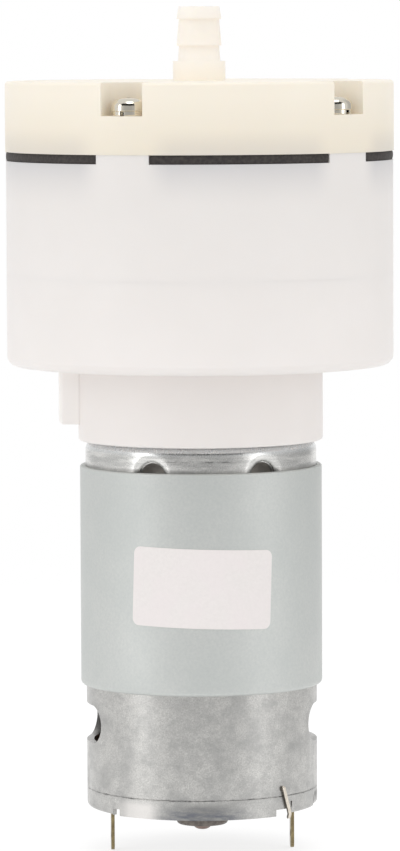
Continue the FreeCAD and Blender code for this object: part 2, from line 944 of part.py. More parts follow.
def end_plate():
    outer = can_radius - skirt_wall - seat_gap
    boss_low = end_z - rear_boss_drop
    boss_inner = rear_boss_radius - rear_boss_wall
    edge = rear_boss_edge
    mid = quarter(edge)
    mouth = shaft_radius + rear_mouth_gap
    plate = spin([
        (boss_inner, holder_z),
        (outer, holder_z),
        (outer, end_plate_z + end_plate_chamfer),
        (outer - end_plate_chamfer, end_plate_z),
        (rear_boss_radius + edge, end_plate_z),
        (rear_boss_radius + mid, end_plate_z - mid, rear_boss_radius, end_plate_z - edge),
        (rear_boss_radius, boss_low + edge),
        (rear_boss_radius - mid, boss_low + mid, rear_boss_radius - edge, boss_low),
        (mouth, boss_low),
        (mouth, boss_low + rear_boss_wall),
        (boss_inner, boss_low + rear_boss_wall),
    ])
    key_half = key_notch_width / 2 - seat_gap
    key_low = end_plate_z - end_plate_chamfer
    key = block(-key_half, key_half, -can_radius + fit_gap, -outer + key_reach,
                key_low, end_z + rim_notch_height - press_gap)
    step = block(-key_half, key_half, -outer + overlap, -outer + key_reach, key_low, end_plate_z)
    solid = fused([plate] + around(key, key_places()) + around(step, key_places()))
    opening = sleeve(seat_gap, end_plate_z - overrun, holder_z + overrun)
    return turned(cut_by(solid, around(opening, [0, 180])), motor_turn)


def sleeve(spare, low, high):
    # The moulded block round a terminal, or the opening in the end plate that it passes.
    depth = terminal_sheet / 2 + sleeve_wall + spare
    width = terminal_width / 2 + sleeve_wall + spare
    return block(terminal_radius - depth, terminal_radius + depth, -width, width, low, high)


def rear_bush():
    low = end_z - rear_boss_drop + rear_boss_wall + press_gap
    outer = rear_boss_radius - rear_boss_wall - press_gap
    return tube(outer, shaft_radius + running_gap, low, low + rear_bush_length)


def brush_holder():
    outer = can_inner - seat_gap
    top = holder_top_z + post_height
    ring = tube(outer, holder_bore, holder_z, holder_top_z)
    inner = terminal_radius - post_depth / 2
    post = block(inner, inner + post_depth, -post_width / 2, post_width / 2,
                 holder_top_z - overlap, top).common(cylinder(outer, holder_z, top))
    lead_in = sleeve(0, end_plate_z, holder_z + overlap)
    half = terminal_sheet / 2 + seat_gap
    wide = terminal_width / 2 + seat_gap
    slot = block(terminal_radius - half, terminal_radius + half, -wide, wide,
                 end_plate_z - overrun, top + overrun)
    arm_wide = brush_width / 2 + arm_side_gap
    arm_slot = block(terminal_radius - half - arm_sheet, terminal_radius, -arm_wide, arm_wide,
                     holder_top_z + arm_rise - arm_side_gap, top + overrun)
    solid = fused([ring] + around(post, [0, 180]) + around(lead_in, [0, 180]))
    solid = cut_by(solid, around(slot, [0, 180]) + around(arm_slot, [0, 180]))
    return turned(solid, motor_turn)


def terminal(side):
    # A brass blade, seen edge-on from the front, with a wire hole near its rounded tip.
    half = terminal_width / 2
    low = end_z - terminal_drop
    high = holder_top_z + post_height
    shoulder = low + terminal_round
    lowest = low + terminal_round / 4
    face = closed_face([
        (-half, shoulder),
        (-half * 0.7, lowest, 0, low),
        (half * 0.7, lowest, half, shoulder),
        (half, high),
        (-half, high),
    ], lambda y, z: Vector(terminal_radius - terminal_sheet / 2, y, z))
    blade = face.extrude(Vector(terminal_sheet, 0, 0))
    start = Vector(terminal_radius - overrun, 0, low + terminal_hole_rise)
    hole = Part.makeCylinder(terminal_hole, 2 * overrun, start, Vector(1, 0, 0))
    return turned(blade.cut(hole), motor_turn + side)


def brush_arm(side):
    # A bronze leaf from the terminal's root up to the back of the brush.
    back = commutator_radius + running_gap + brush_length
    root = terminal_radius - terminal_sheet / 2 - seat_gap
    foot = holder_top_z + arm_rise
    bend = holder_top_z + post_height + arm_sheet
    near = brush_z - brush_height / 2 + arm_inset
    top = brush_z + brush_height / 2 - arm_inset
    sheet = arm_sheet
    leaf = slab([
        (root, foot),
        (root, bend),
        (back + sheet, near),
        (back + sheet, top),
        (back, top),
        (back, near - sheet * 0.4),
        (root - sheet, bend - sheet * 0.4),
        (root - sheet, foot),
    ], -brush_width / 2, brush_width / 2)
    return turned(leaf, motor_turn + side)


def brush(side):
    face = commutator_radius + running_gap
    carbon = block(0, face + brush_length, -brush_width / 2, brush_width / 2,
                   brush_z - brush_height / 2, brush_z + brush_height / 2)
    carbon = carbon.cut(cylinder(face, brush_z - brush_height, brush_z + brush_height))
    return turned(carbon, motor_turn + side)


def earth_strap():
    # A narrow strip from the right terminal, out through the rim's notch and up the case.
    inner = can_radius + seat_gap
    outer = inner + strap_sheet
    low = end_z + (rim_notch_height - strap_sheet) / 2
    high = end_z + strap_rise
    half = strap_width / 2
    shift = outer * math.radians(strap_foot_azimuth - strap_azimuth)
    slanted = slab([
        (-half, high),
        (half, high),
        (shift + half, low),
        (shift - half, low),
    ], -outer - overrun, 0)
    band = tube(outer, inner, low, high).common(turned(slanted, strap_azimuth))
    head = Part.makeCone(strap_dot, strap_dot * 0.6, strap_dot_height,
                         Vector(0, -inner, high), Vector(0, -1, 0))
    bend = can_radius - skirt_wall - 2 * strap_width
    through = block(-half, half, -inner - strap_sheet / 2, -bend, low, low + strap_sheet)
    corner = turned(Part.Vertex(0, -bend, 0), strap_foot_azimuth).Point
    way = Vector(terminal_radius, -terminal_width / 2, 0) - corner
    run = block(-half, way.Length, -half, half, low, low + strap_sheet)
    run.rotate(Vector(0, 0, 0), Vector(0, 0, 1), math.degrees(math.atan2(way.y, way.x)))
    run.translate(corner)
    clear = block(0, can_radius, -can_radius, -terminal_width / 2 - seat_gap, low, high)
    pieces = [band, turned(head, strap_azimuth), turned(through, strap_foot_azimuth),
              run.common(clear)]
    return turned(fused(pieces), motor_turn)


# Rotor

def motor_shaft():
    tail = end_z - shaft_tail
    return spin([
        (0, tail),
        (shaft_radius * 0.72, tail + shaft_dome * 0.3, shaft_radius, tail + shaft_dome),
        (shaft_radius, shaft_top_z - shaft_edge),
        (shaft_radius - shaft_edge, shaft_top_z),
        (0, shaft_top_z),
    ])


def lamination(low, high):
    mouth = math.degrees(slot_mouth / core_radius)
    pitch = 360.0 / slot_count
    tooth = block(-tooth_width / 2, tooth_width / 2, -core_radius + overlap, 0, low, high)
    inner = core_radius - tooth_shoe
    shoe = spin([(inner, low), (core_radius, low), (core_radius, high), (inner, high)],
                pitch - mouth)
    places = [pitch * i for i in range(slot_count)]
    solid = fused([cylinder(core_hub_radius, low, high)] + around(tooth, places)
                  + around(shoe, places))
    return solid.cut(cylinder(shaft_radius, low, high))


def armature_core():
    return lamination(core_z, core_top_z)


def core_insulators():
    rear = lamination(core_z - insulator_thickness, core_z)
    front = lamination(core_top_z, core_top_z + insulator_thickness)
    return [rear, front]


def armature_windings():
    # One coil round each tooth, filling its share of the slots and crossing over its ends.
    pitch = 360.0 / slot_count
    low = core_z - coil_overhang
    high = core_top_z + coil_overhang
    ease = coil_corner
    gap_arc = math.degrees(coil_gap / coil_inner)
    coil = spin([
        (coil_inner, low + ease),
        (coil_inner + ease, low),
        (coil_outer - ease, low),
        (coil_outer, low + ease),
        (coil_outer, high - ease),
        (coil_outer - ease, high),
        (coil_inner + ease, high),
        (coil_inner, high - ease),
    ], pitch - gap_arc)
    half = tooth_width / 2 + coil_gap / 3
    skin = insulator_thickness + seat_gap
    tooth = block(-half, half, -core_radius, 0, core_z - skin, core_top_z + skin)
    return around(coil.cut(tooth), [pitch * i for i in range(slot_count)])


def commutator_bars():
    pitch = 360.0 / slot_count
    bar = spin([
        (commutator_hub_radius, commutator_z),
        (commutator_radius, commutator_z),
        (commutator_radius, commutator_top_z - riser_height),
        (riser_radius, commutator_top_z - riser_height),
        (riser_radius, commutator_top_z),
        (commutator_hub_radius, commutator_top_z),
    ], pitch - commutator_slit)
    return around(bar, [pitch * i for i in range(slot_count)])


def commutator_hub():
    top = core_z - insulator_thickness
    return tube(commutator_hub_radius, shaft_radius, commutator_z - commutator_hub_lip, top)


def shaft_spacers():
    front_low = core_top_z + insulator_thickness
    front_high = face_z + front_boss_height - front_boss_lip - bush_length - spacer_play
    rear_low = end_z - rear_boss_drop + rear_boss_wall + rear_bush_length + spacer_play
    return [tube(spacer_radius, shaft_radius, front_low, front_high),
            tube(spacer_radius, shaft_radius, rear_low, commutator_z - commutator_hub_lip)]


# Every separate piece of the pump, under the name a fitter would use

PIECES = {
    "top_cover": top_cover,
    "valve_plate": valve_plate,
    "inlet_valves": inlet_valves,
    "outlet_valves": outlet_valves,
    "diaphragm": diaphragm,
    "cylinder_block": cylinder_block,
    "crankcase": crankcase,
    "head_screws": head_screws,
    "head_screw_washers": head_screw_washers,
    "motor_screws": motor_screws,
    "swing_frame": swing_frame,
    "thrust_ball": thrust_ball,
    "drive_pin": drive_pin,
    "eccentric_hub": eccentric_hub,
    "hub_set_screw": hub_set_screw,
    "motor_can": motor_can,
    "flux_ring": flux_ring,
    "magnet_front": lambda: magnet(0),
    "magnet_rear": lambda: magnet(180),
    "magnet_springs": magnet_springs,
    "front_bush": front_bush,
    "rear_bush": rear_bush,
    "end_plate": end_plate,
    "brush_holder": brush_holder,
    "terminal_right": lambda: terminal(0),
    "terminal_left": lambda: terminal(180),
    "brush_arm_right": lambda: brush_arm(0),
    "brush_arm_left": lambda: brush_arm(180),
    "brush_right": lambda: brush(0),
    "brush_left": lambda: brush(180),
    "earth_strap": earth_strap,
    "motor_shaft": motor_shaft,
    "armature_core": armature_core,
    "core_insulators": core_insulators,
    "armature_windings": armature_windings,
    "commutator_bars": commutator_bars,
    "commutator_hub": commutator_hub,
    "shaft_spacers": shaft_spacers,
}


def main():
    os.makedirs("parts", exist_ok=True)
    for name, make in PIECES.items():
        made = make()
        shape = Part.makeCompound(made) if isinstance(made, list) else made
        if not shape.isValid() or not shape.Solids:
            raise ValueError(name + " isn't a valid solid")
        if not isinstance(made, list):
            shape = shape.Solids[0] if len(shape.Solids) == 1 else shape
        shape.exportStep("parts/" + name + ".step")
        print(name, len(shape.Solids), round(shape.Volume, 2))


main()
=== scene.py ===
import math

import bmesh
import bpy
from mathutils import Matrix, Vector


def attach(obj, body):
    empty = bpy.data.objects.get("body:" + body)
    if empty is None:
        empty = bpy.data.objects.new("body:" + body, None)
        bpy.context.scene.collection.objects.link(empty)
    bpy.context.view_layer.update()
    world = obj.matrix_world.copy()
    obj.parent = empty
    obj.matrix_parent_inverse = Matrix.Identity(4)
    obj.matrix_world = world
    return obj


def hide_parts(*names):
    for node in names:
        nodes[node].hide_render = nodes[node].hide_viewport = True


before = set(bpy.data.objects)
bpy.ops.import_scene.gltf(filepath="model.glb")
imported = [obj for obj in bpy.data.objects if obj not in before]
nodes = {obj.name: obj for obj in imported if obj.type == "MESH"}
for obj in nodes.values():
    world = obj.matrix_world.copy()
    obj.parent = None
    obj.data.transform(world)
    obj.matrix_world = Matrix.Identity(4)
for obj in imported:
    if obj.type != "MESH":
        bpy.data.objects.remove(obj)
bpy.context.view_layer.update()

mm = 0.001  # everything below is written in millimetres

layout = {
    "posts": [-22.95 + 72 * i for i in range(5)],  # azimuths: 0 is the front, growing to the right
    "cups": [13.05 + 72 * i for i in range(5)],
    "portAzimuth": -94.95,
    "motorTurn": 3.2,
    "screwCircle": 27.0,
    "cupCircle": 14.5,
    "passageCircle": 18.6,
    "headSides": 240,
    "motorSides": 240,
}


# small tools for working the way one does in the viewport

def deselectAll():
    if bpy.context.object and bpy.context.object.mode != "OBJECT":
        bpy.ops.object.mode_set(mode="OBJECT")
    bpy.ops.object.select_all(action="DESELECT")


def useOnly(piece):
    deselectAll()
    piece.select_set(True)
    bpy.context.view_layer.objects.active = piece
    return piece


def placeInMesh(piece):
    useOnly(piece)
    bpy.ops.object.transform_apply(location=True, rotation=True, scale=True)
    return piece


def turned(piece, azimuth):
    piece.rotation_euler.z = math.radians(azimuth)
    return placeInMesh(piece)


def leaveEdit():
    bpy.ops.object.mode_set(mode="OBJECT")


def editPiece(piece, kind="FACE"):
    useOnly(piece)
    bpy.ops.object.mode_set(mode="EDIT")
    bpy.ops.mesh.select_mode(type=kind)
    bpy.ops.mesh.select_all(action="DESELECT")


def pick(piece, test, kind="VERT"):
    # selects what a test on its middle (in mm) accepts, and says how many there are
    mesh = bmesh.from_edit_mesh(piece.data)
    parts = {"VERT": mesh.verts, "EDGE": mesh.edges, "FACE": mesh.faces}[kind]
    count = 0
    for part in parts:
        if kind == "VERT":
            middle = part.co
        elif kind == "EDGE":
            middle = (part.verts[0].co + part.verts[1].co) / 2
        else:
            middle = part.calc_center_median()
        if test(middle / mm):
            part.select_set(True)
            count += 1
    mesh.select_flush_mode()
    bmesh.update_edit_mesh(piece.data)
    return count


def closeMesh(piece, gap=0.002):
    useOnly(piece)
    bpy.ops.object.mode_set(mode="EDIT")
    bpy.ops.mesh.select_mode(type="VERT")
    bpy.ops.mesh.select_all(action="SELECT")
    bpy.ops.mesh.remove_doubles(threshold=gap * mm)
    bpy.ops.mesh.normals_make_consistent(inside=False)
    leaveEdit()
    return piece


def turnShape(name, rings, sides=64, closed=False, turn=0.0):
    # a circle, extruded and scaled from ring to ring; closed joins the last ring to the first
    deselectAll()
    radius, height = rings[0]
    bpy.ops.mesh.primitive_circle_add(
        vertices=sides, radius=radius * mm, location=(0, 0, height * mm),
        rotation=(0, 0, math.radians(turn)), fill_type="NOTHING" if closed else "NGON")
    piece = bpy.context.object
    piece.name = name
    bpy.ops.object.mode_set(mode="EDIT")
    bpy.ops.mesh.select_mode(type="VERT")
    bpy.ops.mesh.select_all(action="SELECT")
    for nextRadius, nextHeight in rings[1:] + (rings[:1] if closed else []):
        rise = (0, 0, (nextHeight - height) * mm)
        bpy.ops.mesh.extrude_region_move(TRANSFORM_OT_translate={"value": rise})
        grow = nextRadius / radius
        if abs(grow - 1) > 1e-9:
            bpy.ops.transform.resize(value=(grow, grow, 1), center_override=(0, 0, 0))
        radius, height = nextRadius, nextHeight
    leaveEdit()
    closeMesh(piece)
    return placeInMesh(piece)


def column(name, radius, low, high, circle=0.0, azimuth=0.0, sides=48):
    # an upright round bar, a pin or a drill, at a place on a circle
    deselectAll()
    angle = math.radians(azimuth)
    bpy.ops.mesh.primitive_cylinder_add(
        vertices=sides, radius=radius * mm, depth=(high - low) * mm,
        location=(circle * math.sin(angle) * mm, -circle * math.cos(angle) * mm,
                  (low + high) / 2 * mm))
    bpy.context.object.name = name
    return placeInMesh(bpy.context.object)


def slot(name, half, circle, reach, low, high, azimuth=0.0):
    # a bar with a round inner end whose outer end is drawn out past the edge
    piece = column(name, half, low, high, circle, sides=64)
    editPiece(piece, "VERT")
    pick(piece, lambda p: p.y < -circle + 0.001)
    bpy.ops.transform.translate(value=(0, (circle - reach) * mm, 0))
    leaveEdit()
    return turned(piece, azimuth)


def radialBar(name, radius, near, far, height, azimuth=0.0, spread=0.0, sides=48):
    # a bar lying along a radius; spread draws it out sideways into a long round-ended bar
    deselectAll()
    bpy.ops.mesh.primitive_cylinder_add(
        vertices=sides, radius=radius * mm, depth=(far - near) * mm,
        location=(0, -(near + far) / 2 * mm, height * mm), rotation=(math.radians(90), 0, 0))
    piece = bpy.context.object
    piece.name = name
    placeInMesh(piece)
    if spread:
        editPiece(piece, "VERT")
        pick(piece, lambda p: p.x > 0.001)
        bpy.ops.transform.translate(value=(spread * mm, 0, 0))
        bpy.ops.mesh.select_all(action="DESELECT")
        pick(piece, lambda p: p.x < 0.001)
        bpy.ops.transform.translate(value=(-spread * mm, 0, 0))
        leaveEdit()
    return turned(piece, azimuth)


def box(name, xs, ys, zs, azimuth=0.0):
    deselectAll()
    bpy.ops.mesh.primitive_cube_add(
        size=1, location=(sum(xs) / 2 * mm, sum(ys) / 2 * mm, sum(zs) / 2 * mm))
    piece = bpy.context.object
    piece.name = name
    piece.scale = ((xs[1] - xs[0]) * mm, (ys[1] - ys[0]) * mm, (zs[1] - zs[0]) * mm)
    placeInMesh(piece)
    return turned(piece, azimuth)


def joined(pieces):
    deselectAll()
    for piece in pieces:
        piece.select_set(True)
    bpy.context.view_layer.objects.active = pieces[0]
    if len(pieces) > 1:
        bpy.ops.object.join()
    return pieces[0]


def copyAround(piece, azimuths):
    # copies with their own meshes, turned about the shaft; the first one goes
    copies = []
    for azimuth in azimuths:
        useOnly(piece)
        bpy.ops.object.duplicate()
        copies.append(turned(bpy.context.object, azimuth))
    bpy.data.objects.remove(piece)
    return copies


def useModifier(piece, kind, **settings):
    useOnly(piece)
    modifier = piece.modifiers.new(kind.title(), kind)
    for key, value in settings.items():
        setattr(modifier, key, value)
    bpy.ops.object.modifier_apply(modifier=modifier.name)
    return piece


def boolean(piece, tool, operation):
    useModifier(piece, "BOOLEAN", object=tool, operation=operation, solver="EXACT")
    bpy.data.objects.remove(tool)
    return piece


def cutWith(piece, *tools):
    for tool in tools:
        boolean(piece, joined(tool) if isinstance(tool, list) else tool, "DIFFERENCE")
    return piece


def addTo(piece, *tools):
    for tool in tools:
        boolean(piece, joined(tool) if isinstance(tool, list) else tool, "UNION")
    return piece


def softenEdges(piece, width, segments=2, angle=35):
    closeMesh(piece)
    useModifier(piece, "BEVEL", width=width * mm, segments=segments, limit_method="ANGLE",
                angle_limit=math.radians(angle), harden_normals=False)
    smoothed(piece)
    return useModifier(piece, "WEIGHTED_NORMAL", keep_sharp=True)  # wide faces stay flat


def smoothed(piece, angle=35):
    useOnly(piece)
    bpy.ops.object.shade_smooth_by_angle(angle=math.radians(angle))
    return piece


def keepArc(piece, azimuth, arc):
    # cuts a ring down to an arc of less than half a turn, with closed ends
    for side in (-1, 1):
        edge = math.radians(azimuth + side * arc / 2)
        outward = (side * math.cos(edge), side * math.sin(edge), 0)
        editPiece(piece)
        bpy.ops.mesh.select_all(action="SELECT")
        bpy.ops.mesh.bisect(plane_co=(0, 0, 0), plane_no=outward, use_fill=True,
                            clear_outer=True)
        leaveEdit()
    return closeMesh(piece)


def finishPiece(piece, body, replaced, material):
    piece.data.materials.clear()
    piece.data.materials.append(material)
    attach(piece, body)
    if replaced:
        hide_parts(*replaced)
    print("made", piece.name, len(piece.data.polygons), "faces")
    return piece


# materials: every pattern is read from Object coordinates, in metres

def tone(red, green, blue):
    # a colour as it should look on screen, 0 to 255, made linear
    def linear(value):
        value /= 255
        return value / 12.92 if value <= 0.04045 else ((value + 0.055) / 1.055) ** 2.4
    return linear(red), linear(green), linear(blue), 1.0


def grey(value):
    return (value, value, value, 1.0)


class Finish:
    # a material and the nodes added to it one after another
    def __init__(self, name, color, roughness, metallic=0.0, specular=0.5):
        self.material = bpy.data.materials.new(name)
        self.material.use_nodes = True
        self.tree = self.material.node_tree
        self.shader = self.tree.nodes["Principled BSDF"]
        self.shader.inputs["Base Color"].default_value = color
        self.shader.inputs["Roughness"].default_value = roughness
        self.shader.inputs["Metallic"].default_value = metallic
        self.shader.inputs["Specular IOR Level"].default_value = specular
        self.place = self.add("ShaderNodeTexCoord").outputs["Object"]

    def add(self, kind, **settings):
        node = self.tree.nodes.new(kind)
        for key, value in settings.items():
            setattr(node, key, value)
        return node

    def join(self, source, target):
        self.tree.links.new(source, target)

    def math(self, operation, *values):
        node = self.add("ShaderNodeMath", operation=operation)
        for socket, value in zip(node.inputs, values):
            if isinstance(value, (int, float)):
                socket.default_value = value
            else:
                self.join(value, socket)
        return node.outputs[0]

    def outward(self, x, y):
        # the distance from the shaft
        return self.math("SQRT", self.math("ADD", self.math("MULTIPLY", x, x),
                                           self.math("MULTIPLY", y, y)))

    def near(self, value, middle, far, close, smooth=False):
        # 1 within close of the middle, 0 beyond far from it, all in mm
        offset = self.math("ABSOLUTE", self.math("SUBTRACT", value, middle * mm))
        return self.span(offset, far * mm, close * mm, smooth=smooth)

    def stretch(self, scale):
        node = self.add("ShaderNodeMapping")
        node.inputs["Scale"].default_value = scale
        self.join(self.place, node.inputs["Vector"])
        return node.outputs["Vector"]

    def noise(self, size, detail=3.0, rough=0.5, place=None):
        # size is how large the spots are, in mm
        node = self.add("ShaderNodeTexNoise")
        node.inputs["Scale"].default_value = 1 / (size * mm)
        node.inputs["Detail"].default_value = detail
        node.inputs["Roughness"].default_value = rough
        self.join(place or self.place, node.inputs["Vector"])
        return node.outputs["Fac"]

    def span(self, value, low, high, start=0.0, end=1.0, smooth=False):
        node = self.add("ShaderNodeMapRange",
                        interpolation_type="SMOOTHSTEP" if smooth else "LINEAR")
        for name, number in (("From Min", low), ("From Max", high),
                             ("To Min", start), ("To Max", end)):
            node.inputs[name].default_value = number
        self.join(value, node.inputs["Value"])
        return node.outputs["Result"]

    def blend(self, share, first, second, kind="MIX"):
        node = self.add("ShaderNodeMix", data_type="RGBA", blend_type=kind)
        for socket, value in ((node.inputs[0], share), (node.inputs[6], first),
                              (node.inputs[7], second)):
            if isinstance(value, (int, float, tuple)):
                socket.default_value = value
            else:
                self.join(value, socket)
        return node.outputs[2]

    def color(self, source):
        self.join(source, self.shader.inputs["Base Color"])

    def roughness(self, source):
        self.join(source, self.shader.inputs["Roughness"])

    def bump(self, height, depth, strength=1.0):
        # depth in mm is how high the pattern stands
        node = self.add("ShaderNodeBump")
        node.inputs["Strength"].default_value = strength
        node.inputs["Distance"].default_value = depth * mm
        self.join(height, node.inputs["Height"])
        self.join(node.outputs["Normal"], self.shader.inputs["Normal"])

    def xyz(self):
        node = self.add("ShaderNodeSeparateXYZ")
        self.join(self.place, node.inputs[0])
        return node.outputs[0], node.outputs[1], node.outputs[2]

    def awayFromPosts(self, near, far):
        # 0 at a screw post, 1 between two posts, by the azimuth round the head
        x, y, z = self.xyz()
        azimuth = self.math("ARCTAN2", x, self.math("MULTIPLY", y, -1.0))
        first = math.radians(layout["posts"][0])
        pitch = math.radians(36)
        offset = self.math("WRAP", self.math("SUBTRACT", azimuth, first), pitch, -pitch)
        return self.span(self.math("ABSOLUTE", offset), math.radians(near), math.radians(far),
                         smooth=True)


def plasticSkin(made, look, color):
    # what both plastics share: faint blotches, a fine grain, and light that goes in a little way
    blotches = made.span(made.noise(look["blotch"]), 0.35, 0.65, 0.0, look["blotchShare"])
    made.color(made.blend(blotches, color, tone(*look["blotchTone"])))
    made.roughness(made.span(made.noise(1.6), 0.3, 0.7, 0.36, look["roughest"]))
    made.bump(made.noise(look["grain"], 2.0), look["grainDepth"], 0.6)
    made.shader.inputs["Subsurface Weight"].default_value = 0.12
    made.shader.inputs["Subsurface Radius"].default_value = look["within"]
    made.shader.inputs["Subsurface Scale"].default_value = 1.2 * mm
    return made.material


def makeCreamPlastic():
    look = {
        "top": (255, 246, 231), "low": (243, 234, 217), "shaded": (226, 219, 208),
        "nozzle": (255, 249, 241), "blotch": 9.0, "blotchShare": 0.05,
        "blotchTone": (238, 226, 205), "roughest": 0.48, "within": (1.0, 0.8, 0.55),
        "grain": 0.35, "grainDepth": 0.006,
    }
    made = Finish("creamPlastic", tone(*look["top"]), 0.42, specular=0.35)
    x, y, z = made.xyz()
    # painted light: the cover is painted darker towards its lower edge and lighter towards its top,
    # palest up the nozzle
    paintedTopLight = made.blend(made.span(z, 65.6 * mm, 74.5 * mm), tone(*look["low"]), tone(*look["top"]))
    paintedLightByHeight = made.blend(made.span(z, 76.0 * mm, 80.0 * mm), paintedTopLight, tone(*look["nozzle"]))
    nearRubber = made.math("MULTIPLY", made.span(z, 65.6 * mm, 70.0 * mm, 1.0, 0.0, True),
                           made.awayFromPosts(7, 16))
    shaded = made.blend(made.math("MULTIPLY", nearRubber, 0.75), paintedLightByHeight, tone(*look["shaded"]))
    return plasticSkin(made, look, shaded)


def makeWhitePlastic():
    look = {
        "high": (239, 235, 232), "low": (247, 242, 239), "shaded": (206, 205, 207),
        "collar": (240, 235, 232), "port": (255, 251, 248), "blotch": 11.0, "blotchShare": 0.10,
        "blotchTone": (228, 222, 217), "roughest": 0.5, "within": (1.0, 0.9, 0.8),
        "grain": 0.35, "grainDepth": 0.006,
    }
    made = Finish("whitePlastic", tone(*look["high"]), 0.42, specular=0.35)
    x, y, z = made.xyz()
    # painted light: the housing is painted lighter towards its bottom, as lit from below
    paintedLightByHeight = made.blend(made.span(z, 60 * mm, 33 * mm), tone(*look["high"]), tone(*look["low"]))
    fade = made.span(z, 57.5 * mm, 64.6 * mm, 0.0, 1.0)
    nearRubber = made.math("MULTIPLY", made.math("POWER", fade, 1.7), made.awayFromPosts(6, 15))
    beside = made.blend(made.math("MULTIPLY", nearRubber, 0.85), paintedLightByHeight, tone(*look["shaded"]))
    out = made.outward(x, y)
    belowHead = made.span(z, 32.4 * mm, 32.7 * mm, 1.0, 0.0)
    onCollar = made.math("MULTIPLY", belowHead, made.span(out, 19.0 * mm, 19.2 * mm, 1.0, 0.0))
    # painted shade: the collar is painted darker up towards the head's underside
    paintedShadeUnderHead = made.math("MULTIPLY", onCollar, made.span(z, 20.5 * mm, 32.6 * mm, 0.3, 1.0))
    # painted light: the port boss is painted paler, lifting the shade under the head
    onPort = made.math("MULTIPLY", belowHead, made.span(out, 19.0 * mm, 19.2 * mm))
    portPaintedLight = made.blend(onPort, beside, tone(*look["port"]))
    shaded = made.blend(paintedShadeUnderHead, portPaintedLight, tone(*look["collar"]))
    return plasticSkin(made, look, shaded)


def makeRubber():
    look = {"dark": (54, 50, 49), "pale": (74, 69, 66)}
    made = Finish("blackRubber", tone(62, 58, 56), 0.62, specular=0.3)
    spots = made.span(made.noise(0.5, 5.0), 0.35, 0.7)
    made.color(made.blend(spots, tone(*look["dark"]), tone(*look["pale"])))
    made.bump(made.noise(0.25, 4.0), 0.02, 0.6)
    return made.material


